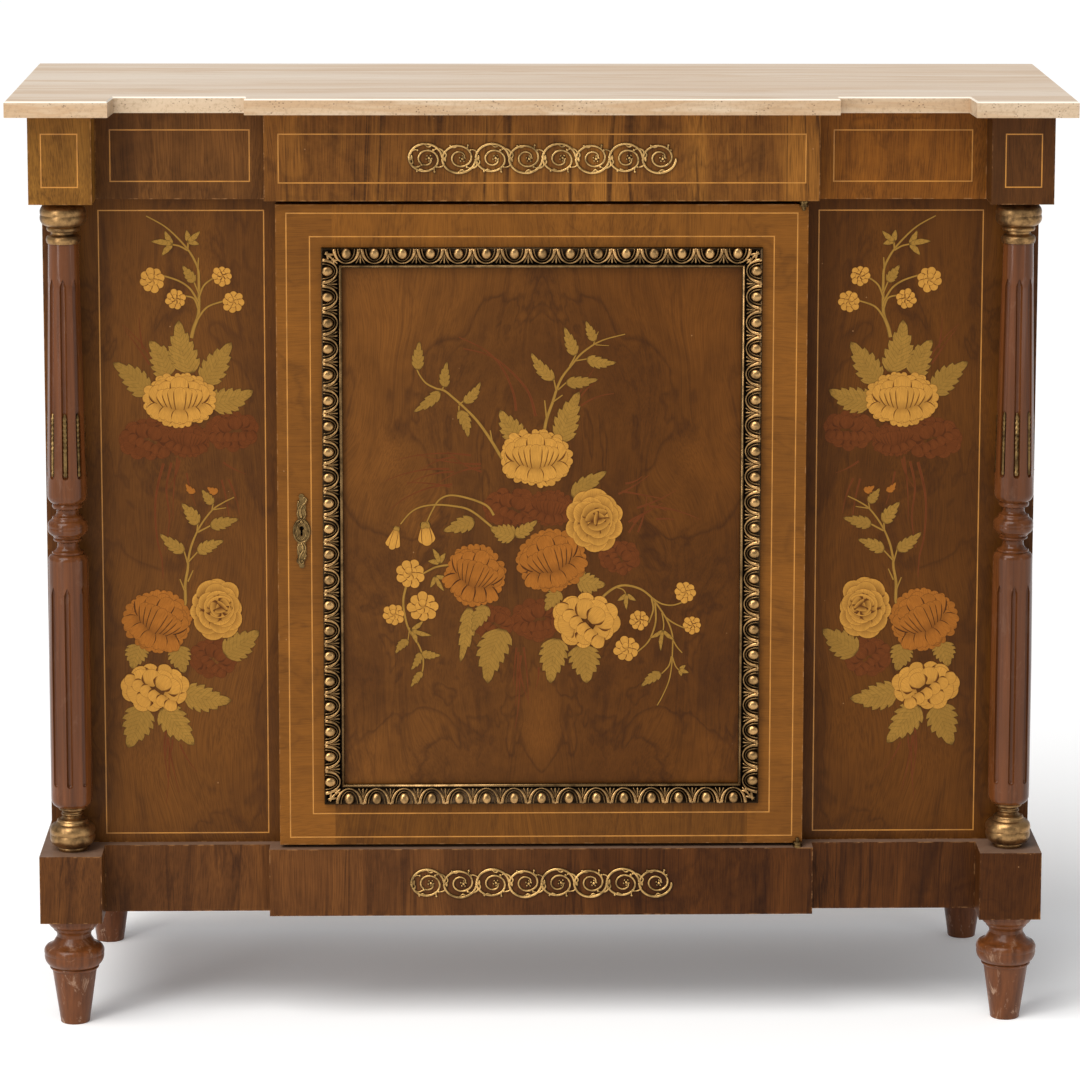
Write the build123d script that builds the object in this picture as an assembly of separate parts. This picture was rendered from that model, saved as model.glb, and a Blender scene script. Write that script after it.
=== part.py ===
from build123d import *
import math
import os

os.makedirs("parts", exist_ok=True)

# Breakfront side cabinet, in millimetres. X runs to the right, Y to the back, Z up.
# The origin is on the floor, under the middle of the stone top.

# Overall sizes
stone_width = 1180.0
stone_depth = 430.0
stone_thick = 18.0
frieze_height = 99.0
body_height = 741.0
plinth_height = 78.0
foot_height = 124.0

# Breakfront outline, shared by stone, frieze and plinth
block_size = 70.0
mid_width = 618.0
mid_setback = 28.0
side_setback = 51.0
stone_overhang = 24.0
stone_side_overhang = 23.0
stone_inner_overhang = 20.0
stone_corner_splay = 3.0
stone_arris = 1.6

# Boards
board = 18.0
rail_thick = 19.0
mid_front_thick = 23.0
back_panel_thick = 6.0
back_rebate = 10.0
back_inset = 2.0
panel_setback = 13.0
carcass_inset = 9.0
door_overlap = 17.0
top_rail_thick = 16.0
top_rail_depth = 60.0

# Door
door_width = 594.0
door_thick = 27.0
door_back_gap = 2.0
stile_width = 63.0
rail_width = 60.0
field_thick = 14.0
field_recess = 2.0
field_groove = 8.0
tenon_thick = 9.0
tenon_length = 30.0
tenon_inset = 8.0
tenon_back = 1.5
tenon_groove_gap = 2.0
joint_play = 0.1

# Egg and dart moulding on the door
moulding_width = 23.0
moulding_height = 8.5
moulding_side_inset = 51.0
moulding_end_inset = 48.0
moulding_fillet = 2.6
fillet_height = 3.6
eggs_across = 15
eggs_up = 21
egg_width = 9.0
egg_length = 13.0
egg_rise = 3.4
egg_slope = 21.0
egg_inset = 8.4
egg_sink = 2.1
egg_sides = 8
shell_width = 14.2
shell_length = 15.4
shell_stroke = 1.5
shell_facets = 6
shell_rise = 2.6
shell_sink = 2.8
dart_length = 12.0
dart_tip = 1.4
dart_foot = 6.4
dart_crest = 0.8
dart_rise = 3.4
corner_share = 0.8
moulding_groove = 1.2
groove_level = 2.2

# Knife hinges
leaf_thick = 2.0
washer_thick = 2.0
nose_radius = 5.0
hinge_pin_radius = 2.2
hinge_play = 0.05
pivot_inset = 5.5
pivot_proud = 2.5
leaf_reach = 50.0
leaf_width = 10.0
pin_tail = 3.0
door_leaf_inset = 6.0
fixed_leaf_inset = 1.0
collar_share = 0.8

# Lock
lock_height_above_mid = 0.0
lock_case_width = 46.0
lock_case_height = 56.0
lock_sink = 3.0
lock_wall = 2.0
bolt_height = 14.0
bolt_thick = 5.0
bolt_length = 36.0
bolt_play = 0.25
bolt_setback = 7.0
lock_edge_gap = 1.5
strike_thick = 1.5
strike_length = 50.0
strike_width = 12.0
strike_pocket = 10.0
plate_inset = 27.0
plate_length = 85.0
plate_width = 20.0
plate_thick = 1.6
keyhole_radius = 2.6
keyhole_drop = 9.0
keyhole_slot = 2.4
notch_width = 6.0
notch_height = 3.5
pocket_play = 1.0
plate_drop = 3.0

# Drawer in the frieze
drawer_gap = 0.5
drawer_front_thick = 22.0
drawer_box_width = 564.0
drawer_box_height = 56.0
drawer_rear_gap = 16.0
drawer_side_thick = 12.0
drawer_bottom_thick = 5.0
drawer_bottom_rise = 6.0
drawer_groove = 6.0
drawer_run_gap = 0.3
drawer_side_gap = 0.5
guide_thick = 18.0
guide_lip = 20.0
guide_lip_gap = 1.0

# Shelf
shelf_rise = 360.0
shelf_gap = 0.6
shelf_setback = 20.0
peg_radius = 3.5
peg_length = 12.0
peg_sink = 9.0
peg_front_gap = 30.0
peg_back_gap = 50.0
peg_seat_gap = 0.05

# Turned columns, heights above the plinth
tenon_radius = 8.0
tenon_depth = 16.0
fit_gap = 0.1
column_base_height = 50.0
capital_height = 47.0
knop_rise = 373.0
knop_top = 37.0
knop_foot = 38.0
shaft_top_radius = 17.0
shaft_low_radius = 22.3
lower_shaft_radius = 23.4
shaft_swell = 1.0
flute_count = 8
flute_radius = 3.5
flute_offset = -0.6
flute_point = 9.0
flute_tip = 0.4
flute_top_margin = 38.0
flute_low_margin = 19.5
lower_flute_margin = 26.0
lower_flute_top_margin = 28.0
insert_length = 71.0
insert_radius = 2.4
insert_neck = 1.6
insert_rod_radius = 2.0
insert_beads = 7
insert_play = 0.15
insert_bead_share = 0.62
insert_tip_radius = 0.9

# Feet
foot_spigot_radius = 12.0
foot_spigot_length = 30.0
rear_foot_inset = 50.0
rear_foot_from_back = 37.0
rear_block_height = 40.0

# Brass scroll mounts
mount_length = 300.0
mount_height = 36.0
mount_thick = 2.4
scroll_count = 8
scroll_stroke = 2.6
scroll_start = 210.0
scroll_arcs = 5
scroll_arc_sweep = 150.0
scroll_shrink = 0.76
bud_radius = 2.2
bud_angles = (208.0, 120.0, 62.0)
link_width = 7.6
link_height = 13.0
rosette_radius = 3.2
rosette_thick = 3.8
mount_drop = 1.0

# Levels
z_plinth = foot_height
z_floor = z_plinth + plinth_height
z_frieze = z_floor + body_height
z_stone = z_frieze + frieze_height
z_top = z_stone + stone_thick

# Planes from front to back
y_stone = -stone_depth / 2
y_back = stone_depth / 2 - back_inset
y_block = y_stone + stone_overhang
y_mid = y_block + mid_setback
y_side = y_block + side_setback
y_inner = y_side + rail_thick
y_panel = y_side + panel_setback
y_door_back = y_panel - door_back_gap
y_door = y_door_back - door_thick
y_column = y_block + block_size / 2
y_bolt = y_panel + bolt_setback

# Planes from the middle outwards
x_block = stone_width / 2 - stone_side_overhang
x_block_in = x_block - block_size
x_column = x_block - block_size / 2
x_carcass = x_block - carcass_inset
x_carcass_in = x_carcass - board
x_mid = mid_width / 2
x_door = door_width / 2
x_opening = x_door - door_overlap
x_drawer_way = drawer_box_width / 2 + drawer_side_gap

# Door heights
z_door_low = z_floor + leaf_thick + washer_thick
z_door_high = z_frieze - leaf_thick - washer_thick
z_door_mid = (z_door_low + z_door_high) / 2
z_lock = z_door_mid + lock_height_above_mid


def board_between(x0, x1, y0, y1, z0, z1):
    """A rectangular board from its six planes."""
    middle = Pos((x0 + x1) / 2, (y0 + y1) / 2, (z0 + z1) / 2)
    return middle * Box(x1 - x0, y1 - y0, z1 - z0)


def mirrored(shape):
    """The same piece for the other side of the cabinet."""
    return mirror(shape, about=Plane.YZ)


def turned(profile):
    """A turned piece. Each row is radius, height and how far the arc that leads to it bulges out."""
    edges = []
    for start, end in zip(profile, profile[1:]):
        a = Vector(start[0], 0, start[1])
        b = Vector(end[0], 0, end[1])
        bulge = end[2]
        if bulge == 0:
            edges.append(Line(a, b))
        else:
            run = (b - a).normalized()
            out = Vector(run.Z, 0, -run.X)
            edges.append(ThreePointArc(a, (a + b) * 0.5 + out * bulge, b))
    first = Vector(profile[0][0], 0, profile[0][1])
    last = Vector(profile[-1][0], 0, profile[-1][1])
    if first.X > 0:
        edges.append(Line(Vector(0, 0, first.Z), first))
        first = Vector(0, 0, first.Z)
    if last.X > 0:
        edges.append(Line(last, Vector(0, 0, last.Z)))
        last = Vector(0, 0, last.Z)
    edges.append(Line(last, first))
    return revolve(make_face(edges), axis=Axis.Z)


def rod_between(a, b, radius):
    """A round rod from one point to another."""
    direction = Vector(*b) - Vector(*a)
    start = Plane(origin=Vector(*a), z_dir=direction.normalized())
    return start * Cylinder(radius, direction.length, align=(Align.CENTER, Align.CENTER, Align.MIN))


def save(name, shape):
    """Writes one piece, or one group of like pieces, to its own file."""
    if isinstance(shape, (list, tuple)):
        shape = Compound(children=list(shape))
    export_step(shape, f"parts/{name}.step")


def save_pair(name, shape):
    """Writes a left piece and its mirror image."""
    save(f"{name}_left", shape)
    save(f"{name}_right", mirrored(shape))


# Stone top
def stone_outline():
    """The breakfront plan of the stone, with splayed inner corners on the two end parts."""
    half = stone_width / 2
    corner = x_block_in - stone_inner_overhang
    middle = x_mid + stone_inner_overhang
    y_low = y_stone + side_setback
    y_middle = y_stone + mid_setback
    right = [
        (0, y_middle),
        (middle, y_middle),
        (middle, y_low),
        (corner - stone_corner_splay, y_low),
        (corner, y_stone),
        (half, y_stone),
        (half, stone_depth / 2),
    ]
    left = [(-x, y) for x, y in reversed(right) if x > 0]
    return right + left


def stone_top():
    plan = Polyline(*stone_outline(), close=True)
    slab = extrude(make_face(plan), stone_thick)
    upper = slab.faces().sort_by(Axis.Z)[-1].edges()
    return Pos(0, 0, z_stone) * chamfer(upper, stone_arris)


# Frieze
def frieze_block():
    """The corner block over a column, with a blind socket for the column's top tenon."""
    block = board_between(-x_block, -x_block_in, y_block, y_block + block_size, z_frieze, z_stone)
    socket = Pos(-x_column, y_column, z_frieze) * Cylinder(
        tenon_radius + fit_gap, tenon_depth + 1, align=(Align.CENTER, Align.CENTER, Align.MIN)
    )
    return block - socket


def frieze_side_front():
    """The recessed piece of the frieze beside the drawer."""
    return board_between(-x_block_in, -x_drawer_way, y_side, y_inner, z_frieze, z_stone)


def frieze_side():
    """The return of the frieze from the corner block to the back."""
    return board_between(-x_block, -x_block + board, y_block + block_size, y_back, z_frieze, z_stone)


def frieze_inside_x():
    return x_block - board


def frieze_board():
    """The board under the drawer, with a tongue that fills the opening between the side fronts."""
    wide = board_between(
        -frieze_inside_x(), frieze_inside_x(), y_inner, y_back - board, z_frieze, z_frieze + board
    )
    tongue = board_between(-x_drawer_way, x_drawer_way, y_side, y_inner, z_frieze, z_frieze + board)
    return wide + tongue


def frieze_back():
    return board_between(-frieze_inside_x(), frieze_inside_x(), y_back - board, y_back, z_frieze, z_stone)


def top_rail():
    """The rail over the drawer that carries the stone's front."""
    low = z_stone - top_rail_thick
    wide = board_between(
        -frieze_inside_x(), frieze_inside_x(), y_inner, y_side + top_rail_depth, low, z_stone
    )
    tongue = board_between(-x_drawer_way, x_drawer_way, y_side, y_inner, low, z_stone)
    return wide + tongue


# Plinth
def plinth_block():
    """The corner block under a column: a socket above for the column, one below for the foot."""
    block = board_between(-x_block, -x_block_in, y_block, y_block + block_size, z_plinth, z_floor)
    upper = Pos(-x_column, y_column, z_floor) * Cylinder(
        tenon_radius + fit_gap, tenon_depth + 1, align=(Align.CENTER, Align.CENTER, Align.MAX)
    )
    lower = Pos(-x_column, y_column, z_plinth) * Cylinder(
        foot_spigot_radius + fit_gap, foot_spigot_length + 1, align=(Align.CENTER, Align.CENTER, Align.MIN)
    )
    return block - upper - lower


def plinth_rail():
    """The recessed front of the plinth, one board from block to block."""
    return board_between(-x_block_in, x_block_in, y_side, y_inner, z_plinth, z_floor)


def plinth_front():
    """The middle piece, planted on the plinth rail and standing proud of it."""
    return board_between(-x_mid, x_mid, y_side - mid_front_thick, y_side, z_plinth, z_floor)


def plinth_side():
    return board_between(-x_block, -x_block + board, y_block + block_size, y_back, z_plinth, z_floor)


def plinth_back():
    inside = x_block - board
    return board_between(-inside, inside, y_back - board, y_back, z_plinth, z_floor)


def floor_board():
    """The carcass floor, housed inside the plinth frame."""
    inside = x_block - board
    return board_between(-inside, inside, y_inner, y_back - board, z_floor - board, z_floor)


def rear_block():
    """A glued block behind the plinth that takes a rear foot's spigot."""
    x = x_block - rear_foot_inset
    y = y_back - rear_foot_from_back
    high = z_plinth + rear_block_height
    block = board_between(-(x_block - board), -x + block_size / 2, y - block_size / 2, y_back - board, z_plinth, high)
    socket = Pos(-x, y, z_plinth) * Cylinder(
        foot_spigot_radius + fit_gap, foot_spigot_length + 1, align=(Align.CENTER, Align.CENTER, Align.MIN)
    )
    return block - socket


# Carcass
def carcass_side():
    """A side panel with a rebate behind for the back panel and two holes for shelf pegs."""
    panel = board_between(-x_carcass, -x_carcass_in, y_panel, y_back, z_floor, z_frieze)
    rebate = board_between(
        -x_carcass_in - back_rebate, -x_carcass_in, y_back - back_panel_thick, y_back, z_floor, z_frieze
    )
    panel -= rebate
    for y in peg_places():
        start = (-x_carcass_in, y, peg_height())
        panel -= rod_between(start, (start[0] - peg_sink - 0.5, y, peg_height()), peg_radius + fit_gap)
    return panel


def back_panel():
    half = x_carcass_in + back_rebate
    return board_between(-half, half, y_back - back_panel_thick, y_back, z_floor, z_frieze)


def front_panel(side):
    """A fixed panel beside the door. The left one is cut for the strike plate and the lock bolt."""
    panel = board_between(x_opening, x_carcass_in, y_panel, y_panel + board, z_floor, z_frieze)
    if side == "left":
        panel = mirrored(panel)
        panel -= strike_seat(strike_thick)
        panel -= bolt_pocket(strike_pocket)
    return panel


# Shelf
def peg_height():
    return z_floor + shelf_rise - peg_radius - peg_seat_gap


def peg_places():
    return [y_panel + board + shelf_setback + peg_front_gap, y_back - back_panel_thick - peg_back_gap]


def shelf():
    half = x_carcass_in - shelf_gap
    z = z_floor + shelf_rise
    return board_between(
        -half, half, y_panel + board + shelf_setback, y_back - back_panel_thick - shelf_gap, z, z + board
    )


def shelf_pegs():
    pegs = []
    for side in (-1, 1):
        for y in peg_places():
            inner = (side * (x_carcass_in - peg_length), y, peg_height())
            outer = (side * (x_carcass_in + peg_sink), y, peg_height())
            pegs.append(rod_between(inner, outer, peg_radius))
    return pegs


# Feet
def foot_profile(top):
    """Radius, height and bulge from the floor up to the plinth, then the spigot."""
    return [
        (15.4, 0, 0),
        (16.6, 1.6, 0.5),
        (25.2, top - 62, 0),
        (26.8, top - 60.5, 0),
        (26.8, top - 57.5, 1.2),
        (33.6, top - 43, 2.6),
        (30.6, top - 34, 1.8),
        (22.0, top - 27, -1.2),
        (19.4, top - 23, 0),
        (19.4, top - 20.5, 0),
        (23.0, top - 15, -0.8),
        (24.4, top - 12, 0),
        (29.4, top - 3.5, 1.6),
        (29.4, top, 0.3),
        (foot_spigot_radius, top, 0),
        (foot_spigot_radius, top + foot_spigot_length, 0),
    ]


def foot(x, y):
    return Pos(x, y, 0) * turned(foot_profile(foot_height))


# Columns
def column_profile():
    """The wooden column from its lower tenon to its upper one."""
    low = column_base_height
    high = body_height - capital_height
    knop = knop_rise
    return [
        (tenon_radius, -tenon_depth, 0),
        (tenon_radius, low, 0),
        (15.2, low, 0),
        (lower_shaft_radius, low + 10, 2.4),
        (lower_shaft_radius, (low + knop) / 2, 0),
        (lower_shaft_radius - shaft_swell, knop - knop_foot, 0),
        (17.4, knop - 30.5, 1.6),
        (17.4, knop - 27.5, 0.6),
        (12.0, knop - 20.5, -1.6),
        (12.0, knop - 17.5, 0),
        (15.4, knop - 15.5, 0),
        (15.4, knop - 12.5, 0.9),
        (18.0, knop - 9.0, 0),
        (22.4, knop, 1.9),
        (18.2, knop + 8.5, 1.8),
        (17.2, knop + 10.5, 0),
        (16.0, knop + 13.0, 0.4),
        (12.6, knop + 16.5, -0.8),
        (12.6, knop + 20.0, 0),
        (16.4, knop + 22.0, 0),
        (16.4, knop + 27.0, 0.9),
        (17.6, knop + 28.0, 0),
        (shaft_low_radius, knop + knop_top, 1.4),
        (shaft_top_radius, high, 0),
        (tenon_radius, high, 0),
        (tenon_radius, body_height + tenon_depth, 0),
    ]


def upper_shaft_radius(rise):
    """Radius of the tapered upper shaft at a height above the plinth."""
    low = knop_rise + knop_top
    high = body_height - capital_height
    share = (rise - low) / (high - low)
    return shaft_low_radius + (shaft_top_radius - shaft_low_radius) * share


def flute_points(low, high, low_radius, high_radius, angle):
    """The two ends of a flute's axis, a little below the shaft's surface."""
    out = Vector(math.sin(angle), -math.cos(angle), 0)
    a = out * (low_radius + flute_offset) + Vector(0, 0, low + flute_radius)
    b = out * (high_radius + flute_offset) + Vector(0, 0, high - flute_point)
    return a, b


def flute_cutter(a, b):
    """A cutter for one flute, round at its lower end and pointed at its upper one."""
    run = Plane(origin=b, z_dir=(b - a).normalized())
    point = run * Cone(flute_radius, flute_tip, flute_point, align=(Align.CENTER, Align.CENTER, Align.MIN))
    return rod_between(tuple(a), tuple(b), flute_radius) + Pos(a.X, a.Y, a.Z) * Sphere(flute_radius) + point


def upper_flute(angle):
    low = knop_rise + knop_top + flute_low_margin
    high = body_height - capital_height - flute_top_margin
    return flute_points(low, high, upper_shaft_radius(low), upper_shaft_radius(high), angle)


def lower_flute(angle):
    low = column_base_height + lower_flute_margin
    high = knop_rise - knop_foot - lower_flute_top_margin
    return flute_points(low, high, lower_shaft_radius, lower_shaft_radius - shaft_swell * 0.8, angle)


def flute_angles():
    return [2 * math.pi * k / flute_count for k in range(flute_count)]


def column():
    cutters = []
    for angle in flute_angles():
        cutters.append(flute_cutter(*upper_flute(angle)))
        cutters.append(flute_cutter(*lower_flute(angle)))
    return Pos(-x_column, y_column, z_floor) * (turned(column_profile()) - cutters)


def flute_insert(angle):
    """A beaded brass strip that lies in the lower end of an upper flute."""
    a, b = upper_flute(angle)
    run = (b - a).normalized()
    inward = Vector(-math.sin(angle), math.cos(angle), 0)
    start = a + inward * (flute_radius - insert_radius - insert_play)
    bead_run = insert_length * insert_bead_share
    plain = insert_length - bead_run
    levels = [(0.0, insert_neck), (3.0, insert_radius), (6.0, insert_neck), (8.0, insert_rod_radius)]
    levels.append((plain, insert_rod_radius))
    pitch = (bead_run - 4) / insert_beads
    for k in range(insert_beads):
        base = plain + 1 + k * pitch
        levels.append((base, insert_neck))
        levels.append((base + pitch / 2, insert_radius))
    levels.append((insert_length - 3, insert_neck))
    levels.append((insert_length, insert_tip_radius))
    sections = []
    for rise, radius in levels:
        at = start + run * rise
        sections.append(Plane(origin=at, z_dir=run, x_dir=inward) * RegularPolygon(radius, 6))
    return loft(sections, ruled=True)


def flute_inserts():
    left = [Pos(-x_column, y_column, z_floor) * flute_insert(angle) for angle in flute_angles()]
    return left + [mirrored(piece) for piece in left]


def brass_bore(height):
    return Cylinder(tenon_radius + fit_gap, height, align=(Align.CENTER, Align.CENTER, Align.MIN))


def capital():
    """The brass capital: a collar, a neck, a ring and a bun, bored for the column's tenon."""
    h = capital_height
    shape = turned([
        (17.6, 0, 0),
        (18.5, 1.5, 0.4),
        (18.5, 7.5, 0.8),
        (16.0, 9.2, 0.3),
        (13.6, 11.0, -0.4),
        (13.6, 13.0, 0),
        (17.4, 14.0, 0),
        (17.6, 18.5, 1.0),
        (17.0, 19.4, 0),
        (25.2, h - 15, 4.0),
        (17.5, h - 2.5, 3.6),
        (17.0, h, 0),
    ])
    return Pos(-x_column, y_column, z_frieze - h) * (shape - brass_bore(h))


def column_base():
    """The brass base: a disc, a bun, a shoulder, a beaded neck and a collar, bored for the tenon."""
    h = column_base_height
    shape = turned([
        (16.6, 0, 0),
        (17.0, 4.0, 0.4),
        (24.8, 19, 3.6),
        (19.0, 31.5, 3.2),
        (17.2, 33.5, 0),
        (15.6, 36.5, 0.6),
        (10.8, 39.5, -0.6),
        (11.6, 41.0, 0),
        (11.2, 43.5, 0.8),
        (11.2, 44.5, 0),
        (14.8, 47.5, -0.6),
        (14.8, h, 0.4),
    ])
    return Pos(-x_column, y_column, z_floor) * (shape - brass_bore(h))


# Door
def field_edges():
    """Half width, low and high edge of the opening in the door's frame."""
    return x_door - stile_width, z_door_low + rail_width, z_door_high - rail_width


def field_cut():
    """The groove that holds the door's centre panel."""
    half, low, high = field_edges()
    deep = field_groove + joint_play
    front = y_door + field_recess
    return board_between(-half - deep, half + deep, front, front + field_thick, low - deep, high + deep)


def door_panel():
    half, low, high = field_edges()
    front = y_door + field_recess
    return board_between(
        -half - field_groove, half + field_groove, front, front + field_thick, low - field_groove, high + field_groove
    )


def rail_tenon(z0, z1, play):
    """The tongue at both ends of a door rail, or with play the mortise that takes it."""
    half = field_edges()[0]
    back = y_door_back - tenon_back
    return board_between(
        -half - tenon_length - play,
        half + tenon_length + play,
        back - tenon_thick - play,
        back + play,
        z0 - play,
        z1 + play,
    )


def rail_tenon_span(side):
    """The low and high edge of a rail's tenon, clear of the panel groove and the hinge leaf."""
    half, low, high = field_edges()
    if side == "low":
        return z_door_low + tenon_inset, low - field_groove - tenon_groove_gap
    return high + field_groove + tenon_groove_gap, z_door_high - tenon_inset


def door_stile(side):
    half, low, high = field_edges()
    stile = board_between(half, x_door, y_door, y_door_back, z_door_low, z_door_high)
    stile -= field_cut()
    for span in ("low", "high"):
        stile -= rail_tenon(*rail_tenon_span(span), joint_play)
    if side == "left":
        stile = mirrored(stile)
        stile -= keyhole(door_thick + 2, y_door - 1)
        stile -= lock_recess()
        return stile
    for seat in hinge_seats():
        stile -= seat
    return stile


def door_rail(side):
    half, low, high = field_edges()
    if side == "low":
        rail = board_between(-half, half, y_door, y_door_back, z_door_low, low)
    else:
        rail = board_between(-half, half, y_door, y_door_back, high, z_door_high)
    rail -= field_cut()
    rail += rail_tenon(*rail_tenon_span(side), 0)
    return rail


# Egg and dart moulding
def moulding_half_sizes():
    half = x_door - moulding_side_inset
    tall = (z_door_high - z_door_low) / 2 - moulding_end_inset
    return half, tall


def moulding_section():
    """The moulding's section: u runs in from its outer edge, v stands out from the door."""
    w = moulding_width
    h = moulding_height
    step = w - moulding_fillet
    edges = [
        Line((0, 0), (0, h * 0.55)),
        ThreePointArc((0, h * 0.55), (w * 0.04, h * 0.9), (w * 0.15, h)),
        ThreePointArc((w * 0.15, h), (step * 0.66, h * 0.72), (step - moulding_groove, groove_level)),
        Line((step - moulding_groove, groove_level), (step, groove_level)),
        Line((step, groove_level), (step, fillet_height)),
        Line((step, fillet_height), (w, fillet_height)),
        Line((w, fillet_height), (w, 0)),
        Line((w, 0), (0, 0)),
    ]
    return make_face(edges)


def egg():
    """One egg, faceted, lying on the moulding's slope with its blunt end at the outer edge."""
    sections = []
    for share, rise in ((1.0, -0.6), (0.86, 0.45), (0.42, 0.95)):
        ring = []
        for k in range(egg_sides):
            turn = 2 * math.pi * (k + 0.5) / egg_sides
            ring.append((egg_width / 2 * share * math.cos(turn), egg_length / 2 * share * math.sin(turn)))
        face = make_face(Polyline(*ring, close=True))
        sections.append(Pos(0, 0, rise * egg_rise) * face)
    return loft(sections, ruled=True)


def shell_outline(inset):
    """A U with a round foot, drawn in straight lines, and its arms carried up past the inset ones."""
    half = shell_width / 2 - inset
    foot = shell_length / 2 - inset
    top = shell_length / 2 + inset
    points = [(-half, top)]
    for k in range(shell_facets + 1):
        turn = math.pi * (1 + k / shell_facets)
        points.append((half * math.cos(turn), foot * math.sin(turn)))
    points.append((half, top))
    return make_face(Polyline(*points, close=True))


def shell():
    """The open shell round an egg."""
    band = shell_outline(0) - shell_outline(shell_stroke)
    return Pos(0, 0, -shell_sink) * extrude(band, shell_rise + shell_sink)


def dart():
    """The leaf between two shells: a ridge whose point is at the outer edge."""
    half = dart_length / 2
    tip = dart_tip / 2
    wide = dart_foot / 2
    crest = dart_crest / 2
    base = Polyline((-tip, half), (tip, half), (wide, -half), (-wide, -half), close=True)
    ridge = Polyline((-crest, half), (crest, half), (crest, -half), (-crest, -half), close=True)
    low = -dart_rise * 0.65
    return loft([Pos(0, 0, low) * make_face(base), Pos(0, 0, low + dart_rise) * make_face(ridge)], ruled=True)


def moulding_length(half_run, count):
    """One mitred length with its eggs and darts, in its own axes: along X, out along Z."""
    run = 2 * half_run
    section = Plane(origin=(-half_run, 0, 0), x_dir=(0, -1, 0), z_dir=(-1, 0, 0)) * moulding_section()
    strip = extrude(section, run, dir=(1, 0, 0))
    pitch = run / (count + corner_share)
    seat = Pos(0, -egg_inset, moulding_height - egg_sink) * Rot(egg_slope, 0, 0)
    carving = []
    for k in range(count):
        at = Pos((k - (count - 1) / 2) * pitch, 0, 0) * seat
        carving += [at * egg(), at * shell()]
    for k in range(count + 1):
        carving.append(Pos((k - count / 2) * pitch, 0, 0) * seat * dart())
    strip = strip + carving
    for side in (-1, 1):
        far = moulding_width * 3
        waste = make_face(Polyline(
            (side * half_run, 0), (side * (half_run + far), 0), (side * (half_run + far), -far),
            (side * (half_run - far), -far), close=True))
        strip -= Pos(0, 0, -moulding_height) * extrude(waste, moulding_height * 4)
    return strip


def egg_and_dart():
    """Four mitred lengths round the door's centre panel."""
    half, tall = moulding_half_sizes()
    across = moulding_length(half, eggs_across)
    upright = moulding_length(tall, eggs_up)
    stand = Pos(0, y_door, z_door_mid)
    facing = Rot(90, 0, 0)
    return [
        stand * Pos(0, 0, tall) * facing * across,
        stand * Pos(0, 0, -tall) * Rot(0, 180, 0) * facing * across,
        stand * Pos(half, 0, 0) * Rot(0, 90, 0) * facing * upright,
        stand * Pos(-half, 0, 0) * Rot(0, -90, 0) * facing * upright,
    ]


# Lock
def lock_x():
    return -x_door + plate_inset


def keyhole(depth, y_start):
    """A keyhole-shaped cutter from the front: a round head and a slot below it."""
    head = Pos(lock_x(), 0) * Circle(keyhole_radius)
    slot = Pos(lock_x(), -keyhole_drop / 2) * Rectangle(keyhole_slot, keyhole_drop)
    face = Plane(origin=(0, y_start, z_lock), x_dir=(1, 0, 0), z_dir=(0, -1, 0)) * (head + slot)
    return extrude(face, -depth)


def key_plate():
    """The keyhole plate: an oval shield with a scrolled tail above and below."""
    shield = Ellipse(plate_width / 2, plate_width * 0.72)
    tail = plate_length / 2
    outline = shield
    for side in (-1, 1):
        neck = Pos(0, side * tail * 0.52) * Ellipse(plate_width * 0.26, tail * 0.34)
        curl = Pos(side * 1.5, side * tail * 0.80) * Circle(plate_width * 0.22)
        tip = Pos(0, side * (tail - 3.0)) * Circle(3.0)
        outline += neck + curl + tip
    face = Plane(origin=(lock_x(), y_door, z_lock - plate_drop), x_dir=(1, 0, 0), z_dir=(0, -1, 0)) * outline
    plate = extrude(face, plate_thick)
    return plate - keyhole(plate_thick + 2, y_door - plate_thick - 1)


def lock_bounds():
    """The six planes of the lock case, let into the back of the stile."""
    x0 = -x_opening + lock_edge_gap
    z0 = z_lock - lock_case_height / 2
    y1 = y_bolt + bolt_thick / 2 + bolt_play + lock_wall
    return x0, x0 + lock_case_width, y_door_back - lock_sink, y1, z0, z0 + lock_case_height


def lock_recess():
    """The shallow seat for the lock case in the back of the stile."""
    x0, x1, y0, y1, z0, z1 = lock_bounds()
    return board_between(x0, x1, y0, y1 + 1, z0, z1)


def bolt_span():
    """The two ends of the bolt when it is drawn back."""
    x0 = lock_bounds()[0] + bolt_play
    return x0, x0 + bolt_length


def lock_case():
    """A hollow case, open at its edge for the bolt and at its front for the key."""
    x0, x1, y0, y1, z0, z1 = lock_bounds()
    case = board_between(x0, x1, y0, y1, z0, z1)
    inner = board_between(
        x0 + lock_wall, x1 - lock_wall, y0 + lock_wall, y1 - lock_wall, z0 + lock_wall, z1 - lock_wall
    )
    b = bolt_height / 2 + bolt_play
    t = bolt_thick / 2 + bolt_play
    mouth = board_between(x0 - 1, x0 + lock_wall + 1, y_bolt - t, y_bolt + t, z_lock - b, z_lock + b)
    return case - inner - mouth - keyhole(lock_wall + lock_sink + 8, y0 - 4)


def lock_bolt():
    x0, x1 = bolt_span()
    bolt = board_between(
        x0, x1, y_bolt - bolt_thick / 2, y_bolt + bolt_thick / 2, z_lock - bolt_height / 2, z_lock + bolt_height / 2
    )
    notch = Pos(lock_x(), y_bolt, z_lock - bolt_height / 2) * Box(notch_width, bolt_thick + 2, 2 * notch_height)
    return bolt - notch


def strike_seat(depth):
    return board_between(
        -x_opening - depth,
        -x_opening,
        y_bolt - strike_width / 2,
        y_bolt + strike_width / 2,
        z_lock - strike_length / 2,
        z_lock + strike_length / 2,
    )


def bolt_pocket(depth):
    b = bolt_height / 2 + pocket_play
    t = bolt_thick / 2 + pocket_play
    return board_between(-x_opening - depth, -x_opening + 1, y_bolt - t, y_bolt + t, z_lock - b, z_lock + b)


def strike_plate():
    return strike_seat(strike_thick) - bolt_pocket(strike_thick + 1)


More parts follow.
